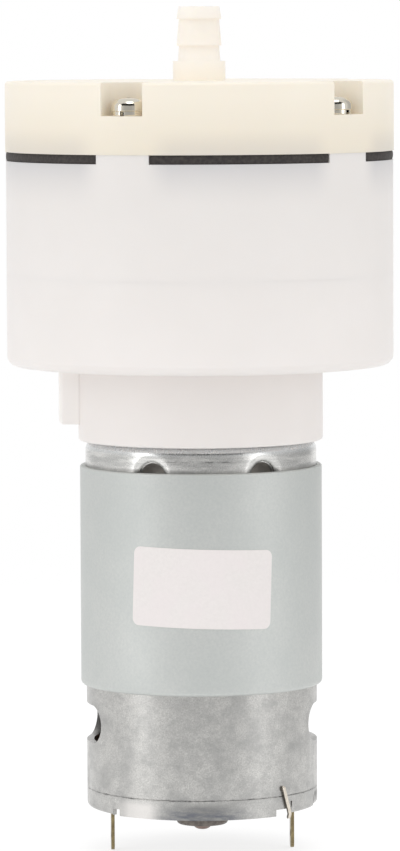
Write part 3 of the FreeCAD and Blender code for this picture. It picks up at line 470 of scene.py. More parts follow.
def makeZinc():
    # hot-dip sheet: fine bright and dull crystals, drawn streaks, dull clouds, a dark broken line
    # along the groove; painted reflections and a painted highlight on the rim, painted light on the
    # top, painted sheen on the shoulder
    look = {
        "light": (220, 219, 216), "dull": (171, 170, 167), "cloudy": (187, 186, 183),
        "dark": (159, 159, 158), "pressed": (204, 204, 202),
        "crystal": 0.2, "streak": 1.6, "cloud": 4.5, "patch": 1.4,
        "groove": -33.1, "darkLine": (104, 104, 104), "paintedDarkReflection": (112, 115, 124),
        "paintedReflectionHigh": -33.9, "paintedReflectionLow": -35.3, "paintedReflectionHalf": 9.0, "rim": (132, 132, 131),
        "rimPaintedHighlight": (226, 223, 220), "rimPaintedHighlightAt": -9.7, "shoulder": 17.3, "fold": 18.75,
        "bright": (243, 242, 239), "top": (232, 235, 237),
    }
    made = Finish("zincSheet", tone(*look["light"]), 0.34, metallic=0.86)
    crystals = made.noise(look["crystal"], 4.0, 0.7)
    streaks = made.noise(look["streak"], 3.0, 0.6, made.stretch((1, 1, 0.1)))
    clouds = made.noise(look["cloud"], 4.0, 0.6)
    patches = made.noise(look["patch"], 3.0, 0.6, made.stretch((0.7, 0.7, 1)))
    mottled = made.blend(made.span(crystals, 0.32, 0.68), tone(*look["dull"]), tone(*look["light"]))
    streaked = made.blend(made.span(streaks, 0.36, 0.66, 0.0, 0.26), mottled, tone(*look["cloudy"]))
    cloudy = made.blend(made.span(clouds, 0.42, 0.68, 0.0, 0.55), streaked, tone(*look["dark"]))
    patched = made.blend(made.span(patches, 0.48, 0.7, 0.0, 0.4), cloudy, tone(*look["dark"]))
    x, y, z = made.xyz()
    # painted reflection: the rim band is painted darker across its middle
    onRim = made.span(z, -33.2 * mm, -34.2 * mm, 0.0, 0.8)
    rimPaintedDarkReflection = made.blend(made.math("MULTIPLY", onRim, made.near(x, 0.0, 7.5, 1.5)), patched,
                        tone(*look["rim"]))
    # painted highlight: a pale patch on the rim at its left
    rim = made.blend(made.math("MULTIPLY", onRim, made.near(x, look["rimPaintedHighlightAt"], 3.6, 1.6)),
                     rimPaintedDarkReflection, tone(*look["rimPaintedHighlight"]))
    # a dark broken line is painted along the groove, and at the front along the fold under the
    # shoulder
    lineBreaks = made.noise(1.3, 5.0, 0.75, made.stretch((1, 1, 5)))
    darkLine = made.math("MULTIPLY", made.near(z, look["groove"], 0.26, 0.08),
                        made.span(lineBreaks, 0.5, 0.64, 0.0, 0.85))
    grooved = made.blend(darkLine, rim, tone(*look["darkLine"]))
    # the shoulder's drawn streaks are the sheet's own; its lighter tone is painted sheen where the
    # lamps reflect
    drawn = made.noise(2.6, 5.0, 0.65, made.stretch((0.35, 0.35, 2.6)))
    onShoulder = made.span(z, look["shoulder"] * mm, (look["shoulder"] + 0.4) * mm)
    pressed = made.blend(made.span(drawn, 0.42, 0.6), tone(*look["pressed"]),
                         tone(*look["bright"]))
    shoulder = made.blend(made.math("MULTIPLY", onShoulder, 0.8), grooved, pressed)
    # painted light: the top under the collar is painted paler against its shade
    paintedLightOnTop = made.blend(made.span(z, 19.4 * mm, 20.4 * mm, 0.0, 0.9), shoulder, tone(*look["top"]))
    fold = made.math("MULTIPLY", made.near(z, look["fold"], 0.2, 0.06),
                     made.near(x, 0.0, 6.5, 4.0))
    folded = made.blend(made.math("MULTIPLY", fold, made.span(lineBreaks, 0.45, 0.6, 0.0, 0.8)), paintedLightOnTop,
                        tone(*look["darkLine"]))
    # painted reflection: a bluish dark patch across the middle of the lower rim
    reflectionStreaks = made.noise(1.8, 5.0, 0.7, made.stretch((0.5, 0.5, 2.4)))
    middle = made.near(x, 0.0, look["paintedReflectionHalf"], 2.0, smooth=True)
    low = made.span(z, look["paintedReflectionHigh"] * mm, look["paintedReflectionLow"] * mm)
    paintedDarkReflection = made.math("MULTIPLY", made.math("MULTIPLY", middle, low),
                       made.span(reflectionStreaks, 0.42, 0.6, 0.0, 0.9))
    made.color(made.blend(paintedDarkReflection, folded, tone(*look["paintedDarkReflection"])))
    spotted = made.span(made.math("ADD", crystals, patches), 0.7, 1.3, 0.28, 0.44)
    made.roughness(made.math("SUBTRACT", spotted, made.math("MULTIPLY", onShoulder, 0.1)))
    made.bump(made.math("ADD", crystals, made.math("MULTIPLY", clouds, 2.0)), 0.007, 0.55)
    return made.material


def makeRingSteel():
    made = Finish("ringSteel", tone(203, 206, 203), 0.5, metallic=0.45)
    fine = made.noise(0.4, 4.0, 0.6)
    clouds = made.noise(9.0, 3.0)
    base = made.blend(made.span(fine, 0.3, 0.7), tone(202, 205, 203), tone(212, 214, 211))
    made.color(made.blend(made.span(clouds, 0.35, 0.65, 0.0, 0.35), base, tone(197, 202, 200)))
    made.roughness(made.span(clouds, 0.3, 0.7, 0.48, 0.56))
    made.bump(fine, 0.006, 0.5)
    return made.material


def makeChrome():
    made = Finish("brightScrew", tone(238, 232, 218), 0.1, metallic=1.0)
    made.roughness(made.span(made.noise(0.7, 3.0), 0.3, 0.7, 0.07, 0.14))
    made.bump(made.noise(0.8, 2.0), 0.01, 0.25)
    return made.material


def makeMetal(name, base, lineBreaks, roughness, size=0.8, depth=0.008, metallic=1.0):
    made = Finish(name, tone(*base), roughness, metallic=metallic)
    spots = made.noise(size, 4.0, 0.6)
    made.color(made.blend(made.span(spots, 0.35, 0.7), tone(*base), tone(*lineBreaks)))
    made.roughness(made.span(spots, 0.3, 0.7, roughness - 0.06, roughness + 0.08))
    made.bump(spots, depth, 0.5)
    return made.material


def makeMatt(name, base, other, roughness, size=1.0, depth=0.01):
    made = Finish(name, tone(*base), roughness, specular=0.3)
    spots = made.noise(size, 4.0, 0.6)
    made.color(made.blend(made.span(spots, 0.35, 0.7), tone(*base), tone(*other)))
    made.bump(spots, depth, 0.6)
    return made.material


def makeLabelPaper():
    made = Finish("labelPaper", tone(240, 234, 233), 0.55, specular=0.3)
    fibres = made.noise(0.5, 5.0, 0.65)
    clouds = made.noise(5.0, 3.0)
    base = made.blend(made.span(fibres, 0.35, 0.7), tone(243, 238, 236), tone(238, 233, 231))
    made.color(made.blend(made.span(clouds, 0.4, 0.65, 0.0, 0.5), base, tone(243, 235, 235)))
    made.bump(fibres, 0.008, 0.5)
    return made.material


creamPlastic = makeCreamPlastic()
whitePlastic = makeWhitePlastic()
blackRubber = makeRubber()
zincSheet = makeZinc()
ringSteel = makeRingSteel()
brightScrew = makeChrome()
brassSheet = makeMetal("brassSheet", (152, 138, 102), (126, 113, 86), 0.36)
tinnedStrip = makeMetal("tinnedStrip", (240, 232, 218), (208, 199, 187), 0.3, 0.7, metallic=0.8)
darkStripEdge = makeMetal("darkStripEdge", (118, 112, 102), (92, 87, 80), 0.45, 0.7, metallic=0.6)
# the end plate's steel is painted darker, as painted shade under the can
endPlatePaintedShade = makeMetal("endPlatePaintedShade", (128, 122, 116), (104, 99, 96), 0.42)
platedSteel = makeMetal("platedSteel", (168, 167, 163), (132, 131, 129), 0.34)
shaftSteel = makeMetal("shaftSteel", (142, 124, 116), (104, 88, 82), 0.3, 1.5)
# painted light: the can's inside is coloured pale to stand in for light coming in through the vents
paleInsidePaintedLight = makeMetal("paleInsidePaintedLight", (206, 201, 194), (176, 170, 164), 0.5, 1.5, metallic=0.25)
darkSteel = makeMetal("darkSteel", (92, 90, 90), (66, 64, 66), 0.42)
laminations = makeMetal("laminations", (120, 120, 124), (84, 84, 90), 0.4, 0.5)
copper = makeMetal("copper", (176, 124, 98), (146, 98, 76), 0.32, 1.2)
bronze = makeMetal("bronze", (172, 132, 88), (140, 102, 66), 0.42, 0.5)
# the magnets' own dark grey is painted lighter, as painted light seen through the vents
ferrite = makeMatt("ferrite", (104, 100, 98), (84, 81, 80), 0.6, 0.6)
carbon = makeMatt("carbon", (48, 46, 46), (34, 33, 33), 0.5, 0.4)
greenPaper = makeMatt("greenPaper", (52, 92, 66), (40, 76, 54), 0.6, 0.8)
blackPlastic = makeMatt("blackPlastic", (44, 43, 44), (34, 33, 34), 0.45, 1.2, 0.004)
nylon = makeMatt("nylon", (226, 222, 210), (212, 208, 196), 0.42, 2.0, 0.004)
labelPaper = makeLabelPaper()
print("materials made")


# pump head

def makeCover():
    cover = {
        "radius": 30.0, "low": 65.6, "top": 76.4, "edge": 0.5, "recess": 24.65,
        "plateTop": 68.6, "roof": 74.2, "dividerIn": 13.7, "dividerOut": 15.3,
        "outletWall": 21.9, "collar": 4.05, "collarTop": 79.4, "root": 3.275, "neck": 3.1,
        "crest": 3.45, "land": 0.35, "crests": (82.1, 86.2), "tip": 3.15, "tipTop": 87.8,
        "bore": 2.0, "notchHalf": 3.4, "ledge": 71.4, "hole": 1.55, "soft": 0.14,
    }
    edge, radius, top = cover["edge"], cover["radius"], cover["top"]
    lowCrest, highCrest = cover["crests"]
    rings = [
        (cover["recess"], cover["low"]), (radius, cover["low"]), (radius, top - edge),
        (radius - edge * 0.08, top - edge * 0.62), (radius - edge * 0.29, top - edge * 0.29),
        (radius - edge * 0.62, top - edge * 0.08), (radius - edge, top),
        (cover["collar"], top), (cover["collar"], cover["collarTop"]),
        (cover["root"], cover["collarTop"]), (cover["neck"], lowCrest - cover["land"]),
        (cover["crest"], lowCrest - cover["land"]), (cover["crest"], lowCrest),
        (cover["neck"], highCrest - cover["land"]), (cover["crest"], highCrest - cover["land"]),
        (cover["crest"], highCrest), (cover["tip"], cover["tipTop"]),
        (cover["bore"], cover["tipTop"]), (cover["bore"], cover["roof"]),
        (cover["dividerIn"], cover["roof"]), (cover["dividerIn"], cover["plateTop"]),
        (cover["dividerOut"], cover["plateTop"]), (cover["dividerOut"], cover["roof"]),
        (cover["outletWall"], cover["roof"]), (cover["outletWall"], cover["plateTop"]),
        (cover["recess"], cover["plateTop"]),
    ]
    piece = turnShape("coverWithNozzle", rings, layout["headSides"], closed=True)
    circle = layout["screwCircle"]
    notches = [slot("notch", cover["notchHalf"], circle, radius + 3, cover["ledge"], top + 2, a)
               for a in layout["posts"]]
    holes = [column("hole", cover["hole"], cover["low"] - 1, cover["ledge"] + 1, circle, a)
             for a in layout["posts"]]
    cutWith(piece, notches, holes)
    softenEdges(piece, cover["soft"], 2)
    return finishPiece(piece, "housing", ["top_cover"], creamPlastic)


def makeBlock():
    block = {
        "radius": 29.9, "inner": 27.5, "low": 46.6, "deckLow": 60.6, "deck": 64.2, "top": 65.6,
        "padHalf": 4.3, "pillar": 3.3, "pillarCircle": 26.4, "hole": 1.55, "bore": 7.3,
        "passage": 1.7, "soft": 0.12,
        "tongueOut": 27.35, "tongueIn": 26.35, "tongueDrop": 1.5, "tongueRelief": 3.8,
        "reliefReach": (-30.0, -13.5),
    }
    circle = layout["screwCircle"]
    piece = turnShape("upperHousing", [
        (block["inner"], block["deckLow"]), (block["inner"], block["low"]),
        (block["radius"], block["low"]), (block["radius"], block["top"])],
        layout["headSides"])
    pillars = [column("pillar", block["pillar"], block["low"], block["deckLow"] + 1,
                      block["pillarCircle"], a) for a in layout["posts"]]
    addTo(piece, pillars)
    rubberRoom = column("rubberRoom", block["radius"] + 2, block["deck"], block["top"] + 1,
                        sides=96)
    pads = [slot("pad", block["padHalf"], circle, block["radius"] + 4, block["deck"] - 1,
                 block["top"] + 2, a) for a in layout["posts"]]
    cutWith(rubberRoom, pads)
    cutWith(piece, rubberRoom)
    bores = [column("bore", block["bore"], block["deckLow"] - 1, block["deck"] + 1,
                    layout["cupCircle"], a, 96) for a in layout["cups"]]
    holes = [column("hole", block["hole"], block["low"] - 1, block["top"] + 1, circle, a)
             for a in layout["posts"]]
    passage = column("passage", block["passage"], block["deckLow"] - 1, block["deck"] + 1,
                     layout["passageCircle"], layout["portAzimuth"])
    tongue = turnShape("tongue", [
        (block["tongueIn"], block["low"] - block["tongueDrop"]),
        (block["tongueOut"], block["low"] - block["tongueDrop"]), (block["tongueOut"], block["low"]),
        (block["inner"] + 0.5, block["low"]), (block["inner"] + 0.5, block["low"] + 1),
        (block["tongueIn"], block["low"] + 1)], layout["headSides"], closed=True)
    half = block["tongueRelief"]
    cutWith(tongue, [box("relief", (-half, half), block["reliefReach"],
                         (block["low"] - 3, block["low"]), a) for a in layout["posts"]])
    addTo(piece, tongue)
    cutWith(piece, bores + holes, passage)
    softenEdges(piece, block["soft"], 2)
    return finishPiece(piece, "housing", ["cylinder_block"], whitePlastic)


def makeCrankcase():
    case = {
        "radius": 29.9, "inner": 27.5, "top": 46.6, "low": 32.6, "corner": 1.5, "floor": 34.9,
        "collar": 18.95, "collarIn": 16.65, "foot": 20.9, "footCorner": 0.4, "seat": 23.4,
        "bossHole": 6.65, "pillar": 3.3, "pillarCircle": 25.5, "pilot": 1.45, "pilotDepth": 10.0,
        "fixing": 1.6, "fixingCircle": 12.5, "portHalf": 5.0, "portReach": 21.65,
        "portLow": 23.5, "portCorner": 0.8, "portBore": 2.0, "soft": 0.12,
    }
    corner, radius, low = case["corner"], case["radius"], case["low"]
    rounded = [(radius - corner + corner * math.sin(math.radians(a)),
                low + corner - corner * math.cos(math.radians(a))) for a in range(0, 91, 15)]
    small = case["footCorner"]
    piece = turnShape("lowerHousing", [
        (case["bossHole"], case["foot"]), (case["collar"] - small, case["foot"]),
        (case["collar"] - small * 0.3, case["foot"] + small * 0.3),
        (case["collar"], case["foot"] + small), (case["collar"], low)] + rounded + [
        (radius, case["top"]), (case["inner"], case["top"]), (case["inner"], case["floor"]),
        (case["collarIn"], case["floor"]), (case["collarIn"], case["seat"]),
        (case["bossHole"], case["seat"])], layout["headSides"], closed=True)
    port = box("port", (-case["portHalf"], case["portHalf"]), (-case["portReach"], -17.2),
               (case["portLow"], low + 1))
    editPiece(port, "EDGE")
    outerFace = -case["portReach"] + 0.01
    pick(port, lambda p: p.y < outerFace and p.z < low, "EDGE")
    bpy.ops.mesh.bevel(offset=case["portCorner"] * mm, segments=5)
    leaveEdit()
    turned(port, layout["portAzimuth"])
    pillars = [column("pillar", case["pillar"], case["floor"] - 1, case["top"],
                      case["pillarCircle"], a) for a in layout["posts"]]
    addTo(piece, port, pillars)
    pilots = [column("pilot", case["pilot"], case["top"] - case["pilotDepth"], case["top"] + 1,
                     layout["screwCircle"], a) for a in layout["posts"]]
    fixings = [column("fixing", case["fixing"], case["foot"] - 1, case["seat"] + 1,
                      case["fixingCircle"], 90 + layout["motorTurn"] + a) for a in (0, 180)]
    bore = radialBar("portBore", case["portBore"], 15.5, case["portReach"] + 2,
                     (case["portLow"] + low) / 2, layout["portAzimuth"])
    cutWith(piece, pilots + fixings, bore)
    softenEdges(piece, case["soft"], 2)
    return finishPiece(piece, "housing", ["crankcase"], whitePlastic)


def makeDiaphragm():
    sheet = {
        "radius": 29.85, "low": 64.22, "top": 65.58, "notchHalf": 4.45, "cupTop": 6.9,
        "cupMouth": 6.2, "floorHeight": 58.6, "floor": 4.3, "wallFloor": 3.7, "lean": 6.0,
        "passage": 1.9,
    }
    piece = turnShape("rubberDiaphragm", [
        (sheet["radius"] - 0.12, sheet["low"]), (sheet["radius"], sheet["low"] + 0.3),
        (sheet["radius"] + 0.03, (sheet["low"] + sheet["top"]) / 2),
        (sheet["radius"], sheet["top"] - 0.3), (sheet["radius"] - 0.12, sheet["top"])],
        layout["headSides"])
    notches = [slot("notch", sheet["notchHalf"], layout["screwCircle"], 34, sheet["low"] - 1,
                    sheet["top"] + 1, a) for a in layout["posts"]]
    mouths = [column("mouth", sheet["cupMouth"], sheet["low"] - 1, sheet["top"] + 1,
                     layout["cupCircle"], a, 64) for a in layout["cups"]]
    passage = column("passage", sheet["passage"], sheet["low"] - 1, sheet["top"] + 1,
                     layout["passageCircle"], layout["portAzimuth"])
    cutWith(piece, notches, mouths, passage)
    cups = []
    for azimuth in layout["cups"]:
        angle = math.radians(azimuth)
        x = layout["cupCircle"] * math.sin(angle)
        y = -layout["cupCircle"] * math.cos(angle)
        drop = x * math.tan(math.radians(sheet["lean"]))  # the frame leans to the right at rest
        floor = sheet["floorHeight"]
        cup = turnShape("cup", [
            (sheet["cupMouth"], sheet["low"] + 0.4), (sheet["cupTop"], sheet["low"] + 0.4),
            (sheet["cupTop"], sheet["low"] - 0.6), (sheet["floor"] + 0.9, floor + 1.2),
            (sheet["floor"], floor), (1.3, floor), (1.3, floor - 0.5), (0.4, floor - 0.5),
            (0.4, floor + 1.7), (sheet["wallFloor"], floor + 1.7),
            (sheet["wallFloor"] + 0.9, floor + 2.6), (sheet["cupMouth"], sheet["low"] - 0.5)],
            64, closed=True)
        editPiece(cup, "VERT")
        pick(cup, lambda p: p.z < floor + 3.0)
        bpy.ops.transform.translate(value=(0, 0, -drop * mm))
        leaveEdit()
        cup.location = (x * mm, y * mm, 0)
        cups.append(placeInMesh(cup))
    smoothed(piece)
    for cup in cups:
        smoothed(cup)
    piece = joined([piece] + cups)
    return finishPiece(piece, "housing", ["diaphragm"], blackRubber)


def makeValves():
    valve = {
        "plateLow": 65.6, "plateTop": 68.6, "lip": 2.2, "edge": 0.22, "crown": 0.8, "stem": 0.68,
        "barb": 1.0, "barbDrop": 1.0, "circles": {"inlet": 11.0, "outlet": 18.0},
    }
    low, top, stem = valve["plateLow"], valve["plateTop"], valve["stem"]
    for name, circle in valve["circles"].items():
        piece = turnShape(name + "Umbrellas", [
            (stem * 0.6, low - valve["barbDrop"]), (stem, low - valve["barbDrop"] + 0.15),
            (valve["barb"], low - 0.12), (valve["barb"] - 0.08, low - 0.05), (stem, low - 0.05),
            (stem, top), (valve["lip"] - 0.3, top + 0.02), (valve["lip"], top),
            (valve["lip"], top + valve["edge"]), (valve["lip"] - 0.12, top + valve["edge"] + 0.08),
            (valve["lip"] * 0.72, top + valve["crown"] * 0.72),
            (valve["lip"] * 0.5, top + valve["crown"] * 0.96),
            (valve["lip"] * 0.2, top + valve["crown"])], 40)
        if name == "inlet":  # this one hangs under the plate
            piece.location.z = -(low + top) * mm
            placeInMesh(piece)
            piece.rotation_euler.x = math.radians(180)
            placeInMesh(piece)
        smoothed(piece, 40)
        piece.location.y = -circle * mm
        placeInMesh(piece)
        valves = joined(copyAround(piece, layout["cups"]))
        valves.name = name + "Umbrellas"
        finishPiece(valves, "housing", [name + "_valves"], blackRubber)


def makeHeadScrews():
    screw = {
        "shank": 1.38, "head": 2.7, "seat": 72.1, "height": 2.05, "tip": 37.9,
        "recess": 2.6, "arm": 0.55, "washer": 2.6, "washerLow": 71.42, "washerTop": 72.1,
        "washerIn": 1.55, "slit": 0.6, "slitReach": (-4, 0), "slitHeight": (70, 74),
    }
    seat, height, head = screw["seat"], screw["height"], screw["head"]
    piece = turnShape("screw", [
        (0.5, screw["tip"]), (screw["shank"], screw["tip"] + 1.6), (screw["shank"], seat),
        (head - 0.12, seat), (head, seat + 0.12), (head, seat + height * 0.42),
        (head * 0.94, seat + height * 0.63), (head * 0.82, seat + height * 0.8),
        (head * 0.64, seat + height * 0.92), (head * 0.4, seat + height * 0.985),
        (head * 0.15, seat + height)], 64)
    arms = []
    for turn in (20, 110):
        arm = box("arm", (-screw["recess"] / 2, screw["recess"] / 2),
                  (-screw["arm"] / 2, screw["arm"] / 2), (seat + height * 0.3, seat + height + 1))
        editPiece(arm, "FACE")
        pick(arm, lambda p: p.z < seat + height * 0.31, "FACE")
        bpy.ops.transform.resize(value=(0.45, 0.6, 1), center_override=(0, 0, 0))
        leaveEdit()
        arms.append(turned(arm, turn))
    cutWith(piece, *arms)
    smoothed(piece, 30)
    piece.location.y = -layout["screwCircle"] * mm
    placeInMesh(piece)
    screws = joined(copyAround(piece, layout["posts"]))
    screws.name = "headScrews"
    finishPiece(screws, "housing", ["head_screws"], brightScrew)

    washer = turnShape("washer", [
        (screw["washerIn"], screw["washerLow"]), (screw["washer"], screw["washerLow"]),
        (screw["washer"], screw["washerTop"]), (screw["washerIn"], screw["washerTop"])],
        64, closed=True)
    slit = box("slit", (-screw["slit"] / 2, screw["slit"] / 2), screw["slitReach"],
               screw["slitHeight"])
    cutWith(washer, slit)
    softenEdges(washer, 0.08, 2)
    washer.location.y = -layout["screwCircle"] * mm
    placeInMesh(washer)
    washers = joined(copyAround(washer, layout["posts"]))
    washers.name = "splitWashers"
    return finishPiece(washers, "housing", ["head_screw_washers"], brightScrew)


# motor

def makeRing():
    ring = {"inner": 17.95, "outer": 18.75, "low": -17.0, "top": 17.0, "round": 0.55,
            "seam": 0.65}
    inner, outer, rounding = ring["inner"], ring["outer"], ring["round"]
    lower = [(outer - rounding + rounding * math.sin(math.radians(a)),
              ring["low"] + rounding - rounding * math.cos(math.radians(a)))
             for a in range(0, 91, 18)]
    piece = turnShape("fluxRing", [(inner, ring["low"])] + lower + [
        (outer, ring["low"] + rounding + 0.3), (outer, ring["top"] - 0.5),
        (outer, ring["top"] - 0.15), (outer - 0.15, ring["top"]), (inner, ring["top"])],
        layout["motorSides"], closed=True)
    seam = box("seam", (-ring["seam"] / 2, ring["seam"] / 2), (16, 20), (-18, 18),
               layout["motorTurn"])
    cutWith(piece, seam)
    smoothed(closeMesh(piece))
    return finishPiece(piece, "housing", ["flux_ring"], ringSteel)


def makeCan():
    can = {
        "radius": 17.9, "inner": 16.8, "skirtIn": 17.15, "top": 20.9, "low": -36.1,
        "corner": 1.4, "faceIn": 19.7, "boss": 6.5, "bossTop": 25.4, "bossIn": 4.9,
        "lip": 24.8, "shaftHole": 2.39, "groove": -33.1, "grooveDepth": 0.07,
        "vent": 2.2, "ventHeight": 16.45, "vents": [-28.6, 29.8], "dish": 1.2, "dishDepth": 0.45,
        "stopRings": [(0.3, 15.2), (1.1, 15.3), (1.7, 15.8), (2.0, 16.6), (2.05, 16.95),
                      (2.35, 16.95), (2.3, 16.4), (1.95, 15.5), (1.3, 15.0), (0.3, 14.85)],
        "stopLow": 16.0, "sliver": 0.02, "aboveNotches": -34.5,
        "windowHalf": 2.95, "windowSpread": 5.05, "windowHeight": -22.8,
        "notches": [(-50.8, 1.5), (41.6, 3.4), (134.3, 1.3), (225.7, 1.3)], "notchTop": -35.1,
        "fixing": 1.5, "fixingCircle": 12.5, "rooms": [(-90, 73.0), (88.75, 85.5)],
        "roomTop": -34.0, "rims": [(-90, 73.1, -36.1, 0.72), (58.8, 23.0, -35.9, 0.4),
                                   (101.1, 59.8, -35.6, 0.35)],
    }
    radius, inner, top, low = can["radius"], can["inner"], can["top"], can["low"]
    corner, groove, depth = can["corner"], can["groove"], can["grooveDepth"]
    shoulder = [(radius - corner + corner * math.sin(math.radians(a)),
                 top - corner + corner * math.cos(math.radians(a))) for a in range(0, 91, 10)]
    upperWall = [(radius, 19.0 - 0.5 * i) for i in range(12)]
    lowerWall = [(radius, 0.0), (radius, -16.0), (radius, groove + 1.0), (radius, groove + 0.4)]
    piece = turnShape("motorCan", [
        (can["shaftHole"], can["bossTop"]), (can["boss"] - 0.6, can["bossTop"]),
        (can["boss"] - 0.18, can["bossTop"] - 0.18), (can["boss"], can["bossTop"] - 0.6),
        (can["boss"], top)] + shoulder + upperWall + lowerWall + [
        (radius, groove + depth), (radius - depth, groove), (radius, groove - depth),
        (radius, groove - 0.4), (radius, can["aboveNotches"]), (radius, low + 0.3),
        (radius, low), (can["skirtIn"], low), (can["skirtIn"], groove), (inner, groove),
        (inner, can["faceIn"] - 0.3),
        (inner - 0.3, can["faceIn"]), (can["bossIn"], can["faceIn"]),
        (can["bossIn"], can["lip"]), (can["shaftHole"], can["lip"])],
        layout["motorSides"], closed=True)
    ventAzimuths = [azimuth + back for back in (0, 180) for azimuth in can["vents"]]
    vents = [radialBar("vent", can["vent"], 12, radius + 2, can["ventHeight"], a, sides=64)
             for a in ventAzimuths]
    windows = [radialBar("window", can["windowHalf"], 12, radius + 2, can["windowHeight"], a,
                         can["windowSpread"], 64) for a in (-90, 90)]
    rimNotches = [box("rimNotch", (-width / 2, width / 2), (-20, -15),
                      (low - 1, can["notchTop"]), a) for a, width in can["notches"]]
    fixings = [column("fixing", can["fixing"], 18, 22, can["fixingCircle"], a) for a in (-90, 90)]
    tabRooms = [keepArc(turnShape("tabRoom", [
        (14, low - 1), (20, low - 1), (20, can["roomTop"]), (14, can["roomTop"])],
        layout["motorSides"], closed=True), a, arc) for a, arc in can["rooms"]]
    cutWith(piece, vents, windows, rimNotches, tabRooms, fixings)
    closeMesh(piece, can["sliver"])  # slivers beside the cuts would spoil the shading

    # the sheet is dished in towards each vent
    editPiece(piece, "VERT")
    mesh = bmesh.from_edit_mesh(piece.data)
    for vert in mesh.verts:
        if math.hypot(vert.co.x, vert.co.y) < (radius - 0.4) * mm:
            continue
        for azimuth in ventAzimuths:
            angle = math.radians(azimuth)
            side = Vector((math.cos(angle), math.sin(angle), 0))
            out = Vector((math.sin(angle), -math.cos(angle), 0))
            if vert.co.dot(out) < 0:
                continue
            away = math.hypot(vert.co.dot(side), vert.co.z - can["ventHeight"] * mm) / mm
            share = 1 - (away - can["vent"]) / can["dish"]
            if 0 < share:
                vert.co -= out * can["dishDepth"] * min(share, 1.0) ** 2 * mm
    bmesh.update_edit_mesh(piece.data)
    leaveEdit()

    # lengths of the rim are peened over, each with its outer corner rounded
    tabs = []
    for azimuth, arc, rimLow, small in can["rims"]:
        bend = [(radius - small + small * math.cos(math.radians(a)),
                 rimLow + small - small * math.sin(math.radians(a))) for a in range(0, 91, 15)]
        tabs.append(keepArc(turnShape("tab", [(radius, can["roomTop"] + 0.05)] + bend
                                      + [(can["skirtIn"], rimLow),
                                         (can["skirtIn"], can["roomTop"] + 0.05)],
                                      layout["motorSides"], closed=True), azimuth, arc))
    addTo(piece, *tabs)
    closeMesh(piece, can["sliver"])
    smoothed(piece)
    useModifier(piece, "WEIGHTED_NORMAL", keep_sharp=True)

    # the sheet behind each vent is pressed in as a stop, open at its lower side
    stops = []
    for azimuth in ventAzimuths:
        stop = turnShape("stop", can["stopRings"], 40)
        stop.rotation_euler = (math.radians(90), 0, math.radians(azimuth))
        stop.location.z = can["ventHeight"] * mm
        placeInMesh(stop)
        editPiece(stop)
        bpy.ops.mesh.select_all(action="SELECT")
        bpy.ops.mesh.bisect(plane_co=(0, 0, can["stopLow"] * mm), plane_no=(0, 0, -1),
                            use_fill=True, clear_outer=True)
        leaveEdit()
        stops.append(smoothed(closeMesh(stop), 50))
    piece = joined([piece] + stops)
    turned(piece, layout["motorTurn"])
    finishPiece(piece, "housing", ["motor_can"], zincSheet)

    # the inside is painted pale, as painted light where it shows through the vents
    piece.data.materials.append(paleInsidePaintedLight)
    editPiece(piece)
    pick(piece, lambda p: math.hypot(p.x, p.y) < inner + 0.03 and p.z < can["faceIn"] + 0.1, "FACE")
    piece.active_material_index = 1
    bpy.ops.object.material_slot_assign()
    leaveEdit()
    return piece


def makeStrap():
    # a tinned strip: azimuth, radius and height of each bend, from its weld down to the blade
    strap = {
        "bends": [(43.3, 18.12, -31.6), (44.4, 18.12, -32.8), (45.7, 18.12, -34.1),
                  (47.0, 18.14, -35.3), (47.6, 18.12, -35.95), (47.9, 17.95, -36.4),
                  (49.0, 17.5, -36.62), (53.0, 16.6, -36.5), (62.0, 15.5, -36.2),
                  (76.0, 14.45, -36.0)],
        "width": 0.66, "thickness": 0.34, "soft": 0.05, "weld": 0.42, "weldHeight": 0.42,
        "facing": 47.5, "edgeTop": -31.0,
    }

    def at(azimuth, radius, height):
        angle = math.radians(azimuth)
        return Vector((radius * math.sin(angle), -radius * math.cos(angle), height)) * mm

    first = at(*strap["bends"][0])
    deselectAll()
    bpy.ops.mesh.primitive_plane_add(size=1)
    piece = bpy.context.object
    piece.name = "earthStrap"
    bpy.ops.object.mode_set(mode="EDIT")
    bpy.ops.mesh.select_mode(type="VERT")
    bpy.ops.mesh.select_all(action="SELECT")
    bpy.ops.mesh.merge(type="CENTER")
    facing = math.radians(strap["facing"])
    along = Vector((math.cos(facing), math.sin(facing), 0))  # it lies flat on the case
    across = along * strap["width"] * mm
    bpy.ops.transform.translate(value=first - across / 2)
    bpy.ops.mesh.extrude_region_move(TRANSFORM_OT_translate={"value": across})
    bpy.ops.mesh.select_all(action="SELECT")
    for here, there in zip(strap["bends"], strap["bends"][1:]):
        step = at(*there) - at(*here)
        bpy.ops.mesh.extrude_region_move(TRANSFORM_OT_translate={"value": step})
    leaveEdit()
    placeInMesh(piece)
    useModifier(piece, "SOLIDIFY", thickness=strap["thickness"] * mm, offset=0.0)
    weld = turnShape("weld", [
        (strap["weld"], 0), (strap["weld"], strap["weldHeight"] * 0.5),
        (strap["weld"] * 0.7, strap["weldHeight"] * 0.9),
        (strap["weld"] * 0.3, strap["weldHeight"])], 24)
    weld.rotation_euler = (math.radians(90), 0, math.radians(strap["bends"][0][0]))
    weld.location = at(strap["bends"][0][0], 17.95, strap["bends"][0][2] - 0.3)
    placeInMesh(weld)
    softenEdges(piece, strap["soft"], 2)
    smoothed(weld)
    piece = joined([piece, weld])
    finishPiece(piece, "housing", ["earth_strap"], tinnedStrip)

    # the strip's edge on one side is coloured dark below the weld
    piece.data.materials.append(darkStripEdge)
    for face in piece.data.polygons:
        if face.normal.dot(along) < -0.5 and face.center.z < strap["edgeTop"] * mm:
            face.material_index = 1
    return piece


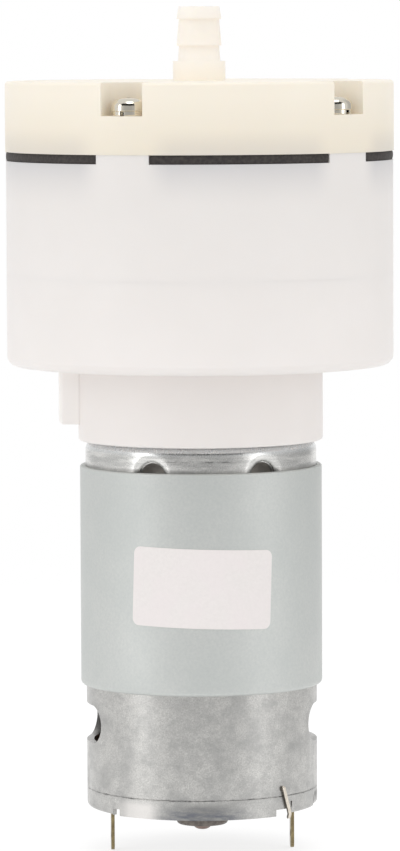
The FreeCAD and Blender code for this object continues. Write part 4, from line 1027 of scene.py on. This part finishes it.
def makeLabel():
    label = {"radius": 18.77, "thickness": 0.07, "width": 22.2, "height": 12.1, "middle": -0.5,
             "tilt": 1.9, "azimuth": 0.5, "corner": 1.1, "columns": 72}
    deselectAll()
    bpy.ops.mesh.primitive_plane_add(size=1, rotation=(math.radians(90), 0, 0))
    piece = bpy.context.object
    piece.name = "bareLabel"
    piece.scale = (label["width"] * mm, label["height"] * mm, 1)
    placeInMesh(piece)
    editPiece(piece, "VERT")
    bpy.ops.mesh.select_all(action="SELECT")
    bpy.ops.mesh.bevel(offset=label["corner"] * mm, segments=8, affect="VERTICES")
    for cut in range(1, label["columns"]):
        x = (cut / label["columns"] - 0.5) * label["width"]
        bpy.ops.mesh.select_all(action="SELECT")
        bpy.ops.mesh.bisect(plane_co=(x * mm, 0, 0), plane_no=(1, 0, 0))
    leaveEdit()
    piece.rotation_euler.y = math.radians(label["tilt"])
    placeInMesh(piece)
    for vert in piece.data.vertices:  # wrap it on to the ring
        angle = vert.co.x / (label["radius"] * mm) + math.radians(label["azimuth"])
        vert.co = (math.sin(angle) * label["radius"] * mm, -math.cos(angle) * label["radius"] * mm,
                   vert.co.z + label["middle"] * mm)
    useModifier(piece, "SOLIDIFY", thickness=label["thickness"] * mm, offset=1.0)
    closeMesh(piece)
    smoothed(piece, 40)
    return finishPiece(piece, "housing", [], labelPaper)


makeCover()
makeBlock()
makeCrankcase()
makeDiaphragm()
makeValves()
makeHeadScrews()
makeRing()
makeCan()
makeStrap()
makeLabel()

nodeFinish = {
    "valve_plate": whitePlastic, "motor_screws": brightScrew,
    "swing_frame": nylon, "thrust_ball": brightScrew,
    "drive_pin": shaftSteel, "eccentric_hub": bronze, "hub_set_screw": darkSteel,
    "magnet_front": ferrite, "magnet_rear": ferrite, "magnet_springs": platedSteel,
    "front_bush": bronze, "rear_bush": bronze, "end_plate": endPlatePaintedShade,
    "brush_holder": blackPlastic, "terminal_right": brassSheet, "terminal_left": brassSheet,
    "brush_arm_right": bronze, "brush_arm_left": bronze, "brush_right": carbon,
    "brush_left": carbon, "motor_shaft": shaftSteel,
    "armature_core": laminations, "core_insulators": greenPaper, "armature_windings": copper,
    "commutator_bars": copper, "commutator_hub": blackPlastic, "shaft_spacers": nylon,
}
for nodeName, material in nodeFinish.items():
    node = nodes[nodeName]
    if not node.data.materials:
        node.data.materials.append(material)
    for index in range(len(node.data.materials)):
        node.data.materials[index] = material
print("carried-over nodes have their finishes")


# stage, light and camera

def makeFloor():
    floorLook = {"radius": 0.6, "height": -43.2, "fadeFrom": 0.10, "fadeTo": 0.42, "glow": 0.80,
                 "shadowed": 0.30}
    deselectAll()
    bpy.ops.mesh.primitive_circle_add(vertices=96, radius=floorLook["radius"], fill_type="NGON",
                                      location=(0, 0, floorLook["height"] * mm))
    floor = bpy.context.object
    floor.name = "paleFloor"
    made = Finish("paleFloor", tone(250, 250, 250), 0.8, specular=0.1)
    x, y, z = made.xyz()
    away = made.outward(x, y)
    glow = made.add("ShaderNodeEmission")  # what the eye and a mirror see: white, a faint shadow
    glow.inputs["Strength"].default_value = floorLook["glow"]
    faint = made.add("ShaderNodeBsdfDiffuse")
    faint.inputs["Color"].default_value = grey(floorLook["shadowed"])
    seen = made.add("ShaderNodeAddShader")
    made.join(glow.outputs[0], seen.inputs[0])
    made.join(faint.outputs[0], seen.inputs[1])
    path = made.add("ShaderNodeLightPath")
    looking = made.math("MAXIMUM", path.outputs["Is Camera Ray"],
                        made.math("MAXIMUM", path.outputs["Is Glossy Ray"],
                                  path.outputs["Is Transmission Ray"]))
    surface = made.add("ShaderNodeMixShader")
    made.join(looking, surface.inputs[0])
    made.join(made.shader.outputs[0], surface.inputs[1])
    made.join(seen.outputs[0], surface.inputs[2])
    clear = made.add("ShaderNodeBsdfTransparent")
    under = made.add("ShaderNodeNewGeometry").outputs["Backfacing"]
    fade = made.math("MAXIMUM", made.span(away, floorLook["fadeFrom"], floorLook["fadeTo"],
                                          smooth=True), under)
    mixed = made.add("ShaderNodeMixShader")
    made.join(fade, mixed.inputs[0])
    made.join(surface.outputs[0], mixed.inputs[1])
    made.join(clear.outputs[0], mixed.inputs[2])
    made.join(mixed.outputs[0], made.tree.nodes["Material Output"].inputs["Surface"])
    floor.data.materials.append(made.material)


def makeWorld():
    # a pale room, dimmer towards the camera; the eye sees white, and so does metal behind it
    light = {"around": 0.82, "front": 0.65, "mirrorAround": 0.74, "mirrorFront": 0.42,
             "spread": 0.55, "backFrom": 0.75, "backTo": 0.95,
             "card": 0.02, "cardLow": 0.32, "cardHigh": 0.74, "cardEdge": 0.08,
             "rightDim": 0.66}
    world = bpy.data.worlds.new("studio")
    bpy.context.scene.world = world
    world.use_nodes = True
    tree = world.node_tree
    tree.nodes.clear()

    def add(kind, **settings):
        node = tree.nodes.new(kind)
        for key, value in settings.items():
            setattr(node, key, value)
        return node

    def span(source, low, high, start, end):
        node = add("ShaderNodeMapRange", interpolation_type="SMOOTHSTEP")
        for name, value in (("From Min", low), ("From Max", high), ("To Min", start),
                            ("To Max", end)):
            node.inputs[name].default_value = value
        tree.links.new(source, node.inputs["Value"])
        return node.outputs["Result"]

    def background(color):
        node = add("ShaderNodeBackground")
        node.inputs["Strength"].default_value = 1.0
        if isinstance(color, tuple):
            node.inputs["Color"].default_value = color
        else:
            tree.links.new(color, node.inputs["Color"])
        return node.outputs[0]

    def mixed(share, first, second):
        node = add("ShaderNodeMixShader")
        for socket, source in zip(node.inputs, (share, first, second)):
            tree.links.new(source, socket)
        return node.outputs[0]

    def combined(operation, first, second):
        node = add("ShaderNodeMath", operation=operation)
        tree.links.new(first, node.inputs[0])
        tree.links.new(second, node.inputs[1])
        return node.outputs[0]

    path = add("ShaderNodeLightPath").outputs
    split = add("ShaderNodeSeparateXYZ")
    tree.links.new(add("ShaderNodeTexCoord").outputs["Generated"], split.inputs[0])
    back = split.outputs[1]
    edge = -1.0 + light["spread"]
    room = background(span(back, -1.0, edge, light["front"], light["around"]))
    mirrored = background(span(back, -1.0, edge, light["mirrorFront"], light["mirrorAround"]))
    rightBehind = combined("MULTIPLY", span(split.outputs[0], 0.3, 0.8, 0.0, 1.0),
                           span(back, -0.2, 0.3, 0.0, 1.0))
    dim = background(grey(light["mirrorAround"] * light["rightDim"]))
    mirrored = mixed(rightBehind, mirrored, dim)
    card = background(grey(light["card"]))  # a black card over the camera, for contrast
    height, cardEdge = split.outputs[2], light["cardEdge"]
    over = combined("MULTIPLY",
                    span(height, light["cardLow"], light["cardLow"] + cardEdge, 0.0, 1.0),
                    span(height, light["cardHigh"], light["cardHigh"] + cardEdge, 1.0, 0.0))
    before = combined("MULTIPLY", over, span(back, -0.45, -0.35, 1.0, 0.0))
    mirrored = mixed(before, mirrored, card)
    white = background(grey(1.0))
    behind = mixed(span(back, light["backFrom"], light["backTo"], 0.0, 1.0), mirrored, white)
    seenInMetal = combined("MAXIMUM", path["Is Glossy Ray"], path["Is Transmission Ray"])
    lit = mixed(seenInMetal, room, behind)
    output = add("ShaderNodeOutputWorld")
    tree.links.new(mixed(path["Is Camera Ray"], lit, white), output.inputs["Surface"])


def addSoftbox(name, azimuth, elevation, distance, size, power):
    turn, lift = math.radians(azimuth), math.radians(elevation)
    out = Vector((math.sin(turn) * math.cos(lift), -math.cos(turn) * math.cos(lift),
                  math.sin(lift)))
    target = Vector((0, 0, 0.025))
    bpy.ops.object.light_add(type="AREA", location=target + out * distance)
    lamp = bpy.context.object
    lamp.name = name
    lamp.data.shape = "RECTANGLE"
    lamp.data.size, lamp.data.size_y = size
    lamp.data.energy = power
    lamp.rotation_euler = out.to_track_quat("Z", "Y").to_euler()


def makeCamera():
    view = {"distance": 791.6, "pitch": 4.45, "aim": 23.0, "side": 0.16, "roll": 0.25,
            "lens": 215.9}
    pitch = math.radians(view["pitch"])
    bpy.ops.object.camera_add(
        location=(view["side"] * mm, -view["distance"] * math.cos(pitch) * mm,
                  (view["aim"] + view["distance"] * math.sin(pitch)) * mm),
        rotation=(math.radians(90) - pitch, math.radians(view["roll"]), 0))
    camera = bpy.context.object
    camera.data.sensor_fit = "VERTICAL"
    camera.data.sensor_width = 36
    camera.data.sensor_height = 36
    camera.data.lens = view["lens"]
    bpy.context.scene.camera = camera


makeFloor()
makeWorld()
addSoftbox("leftSoftbox", -60, 10, 1.1, (0.32, 0.9), 1.9)
addSoftbox("rightSoftbox", 58, 10, 1.2, (0.35, 0.9), 1.5)
addSoftbox("topSoftbox", 10, 68, 0.9, (0.5, 0.5), 1.3)
makeCamera()
bpy.context.scene.view_settings.view_transform = "Standard"
print("stage, light and camera are set")
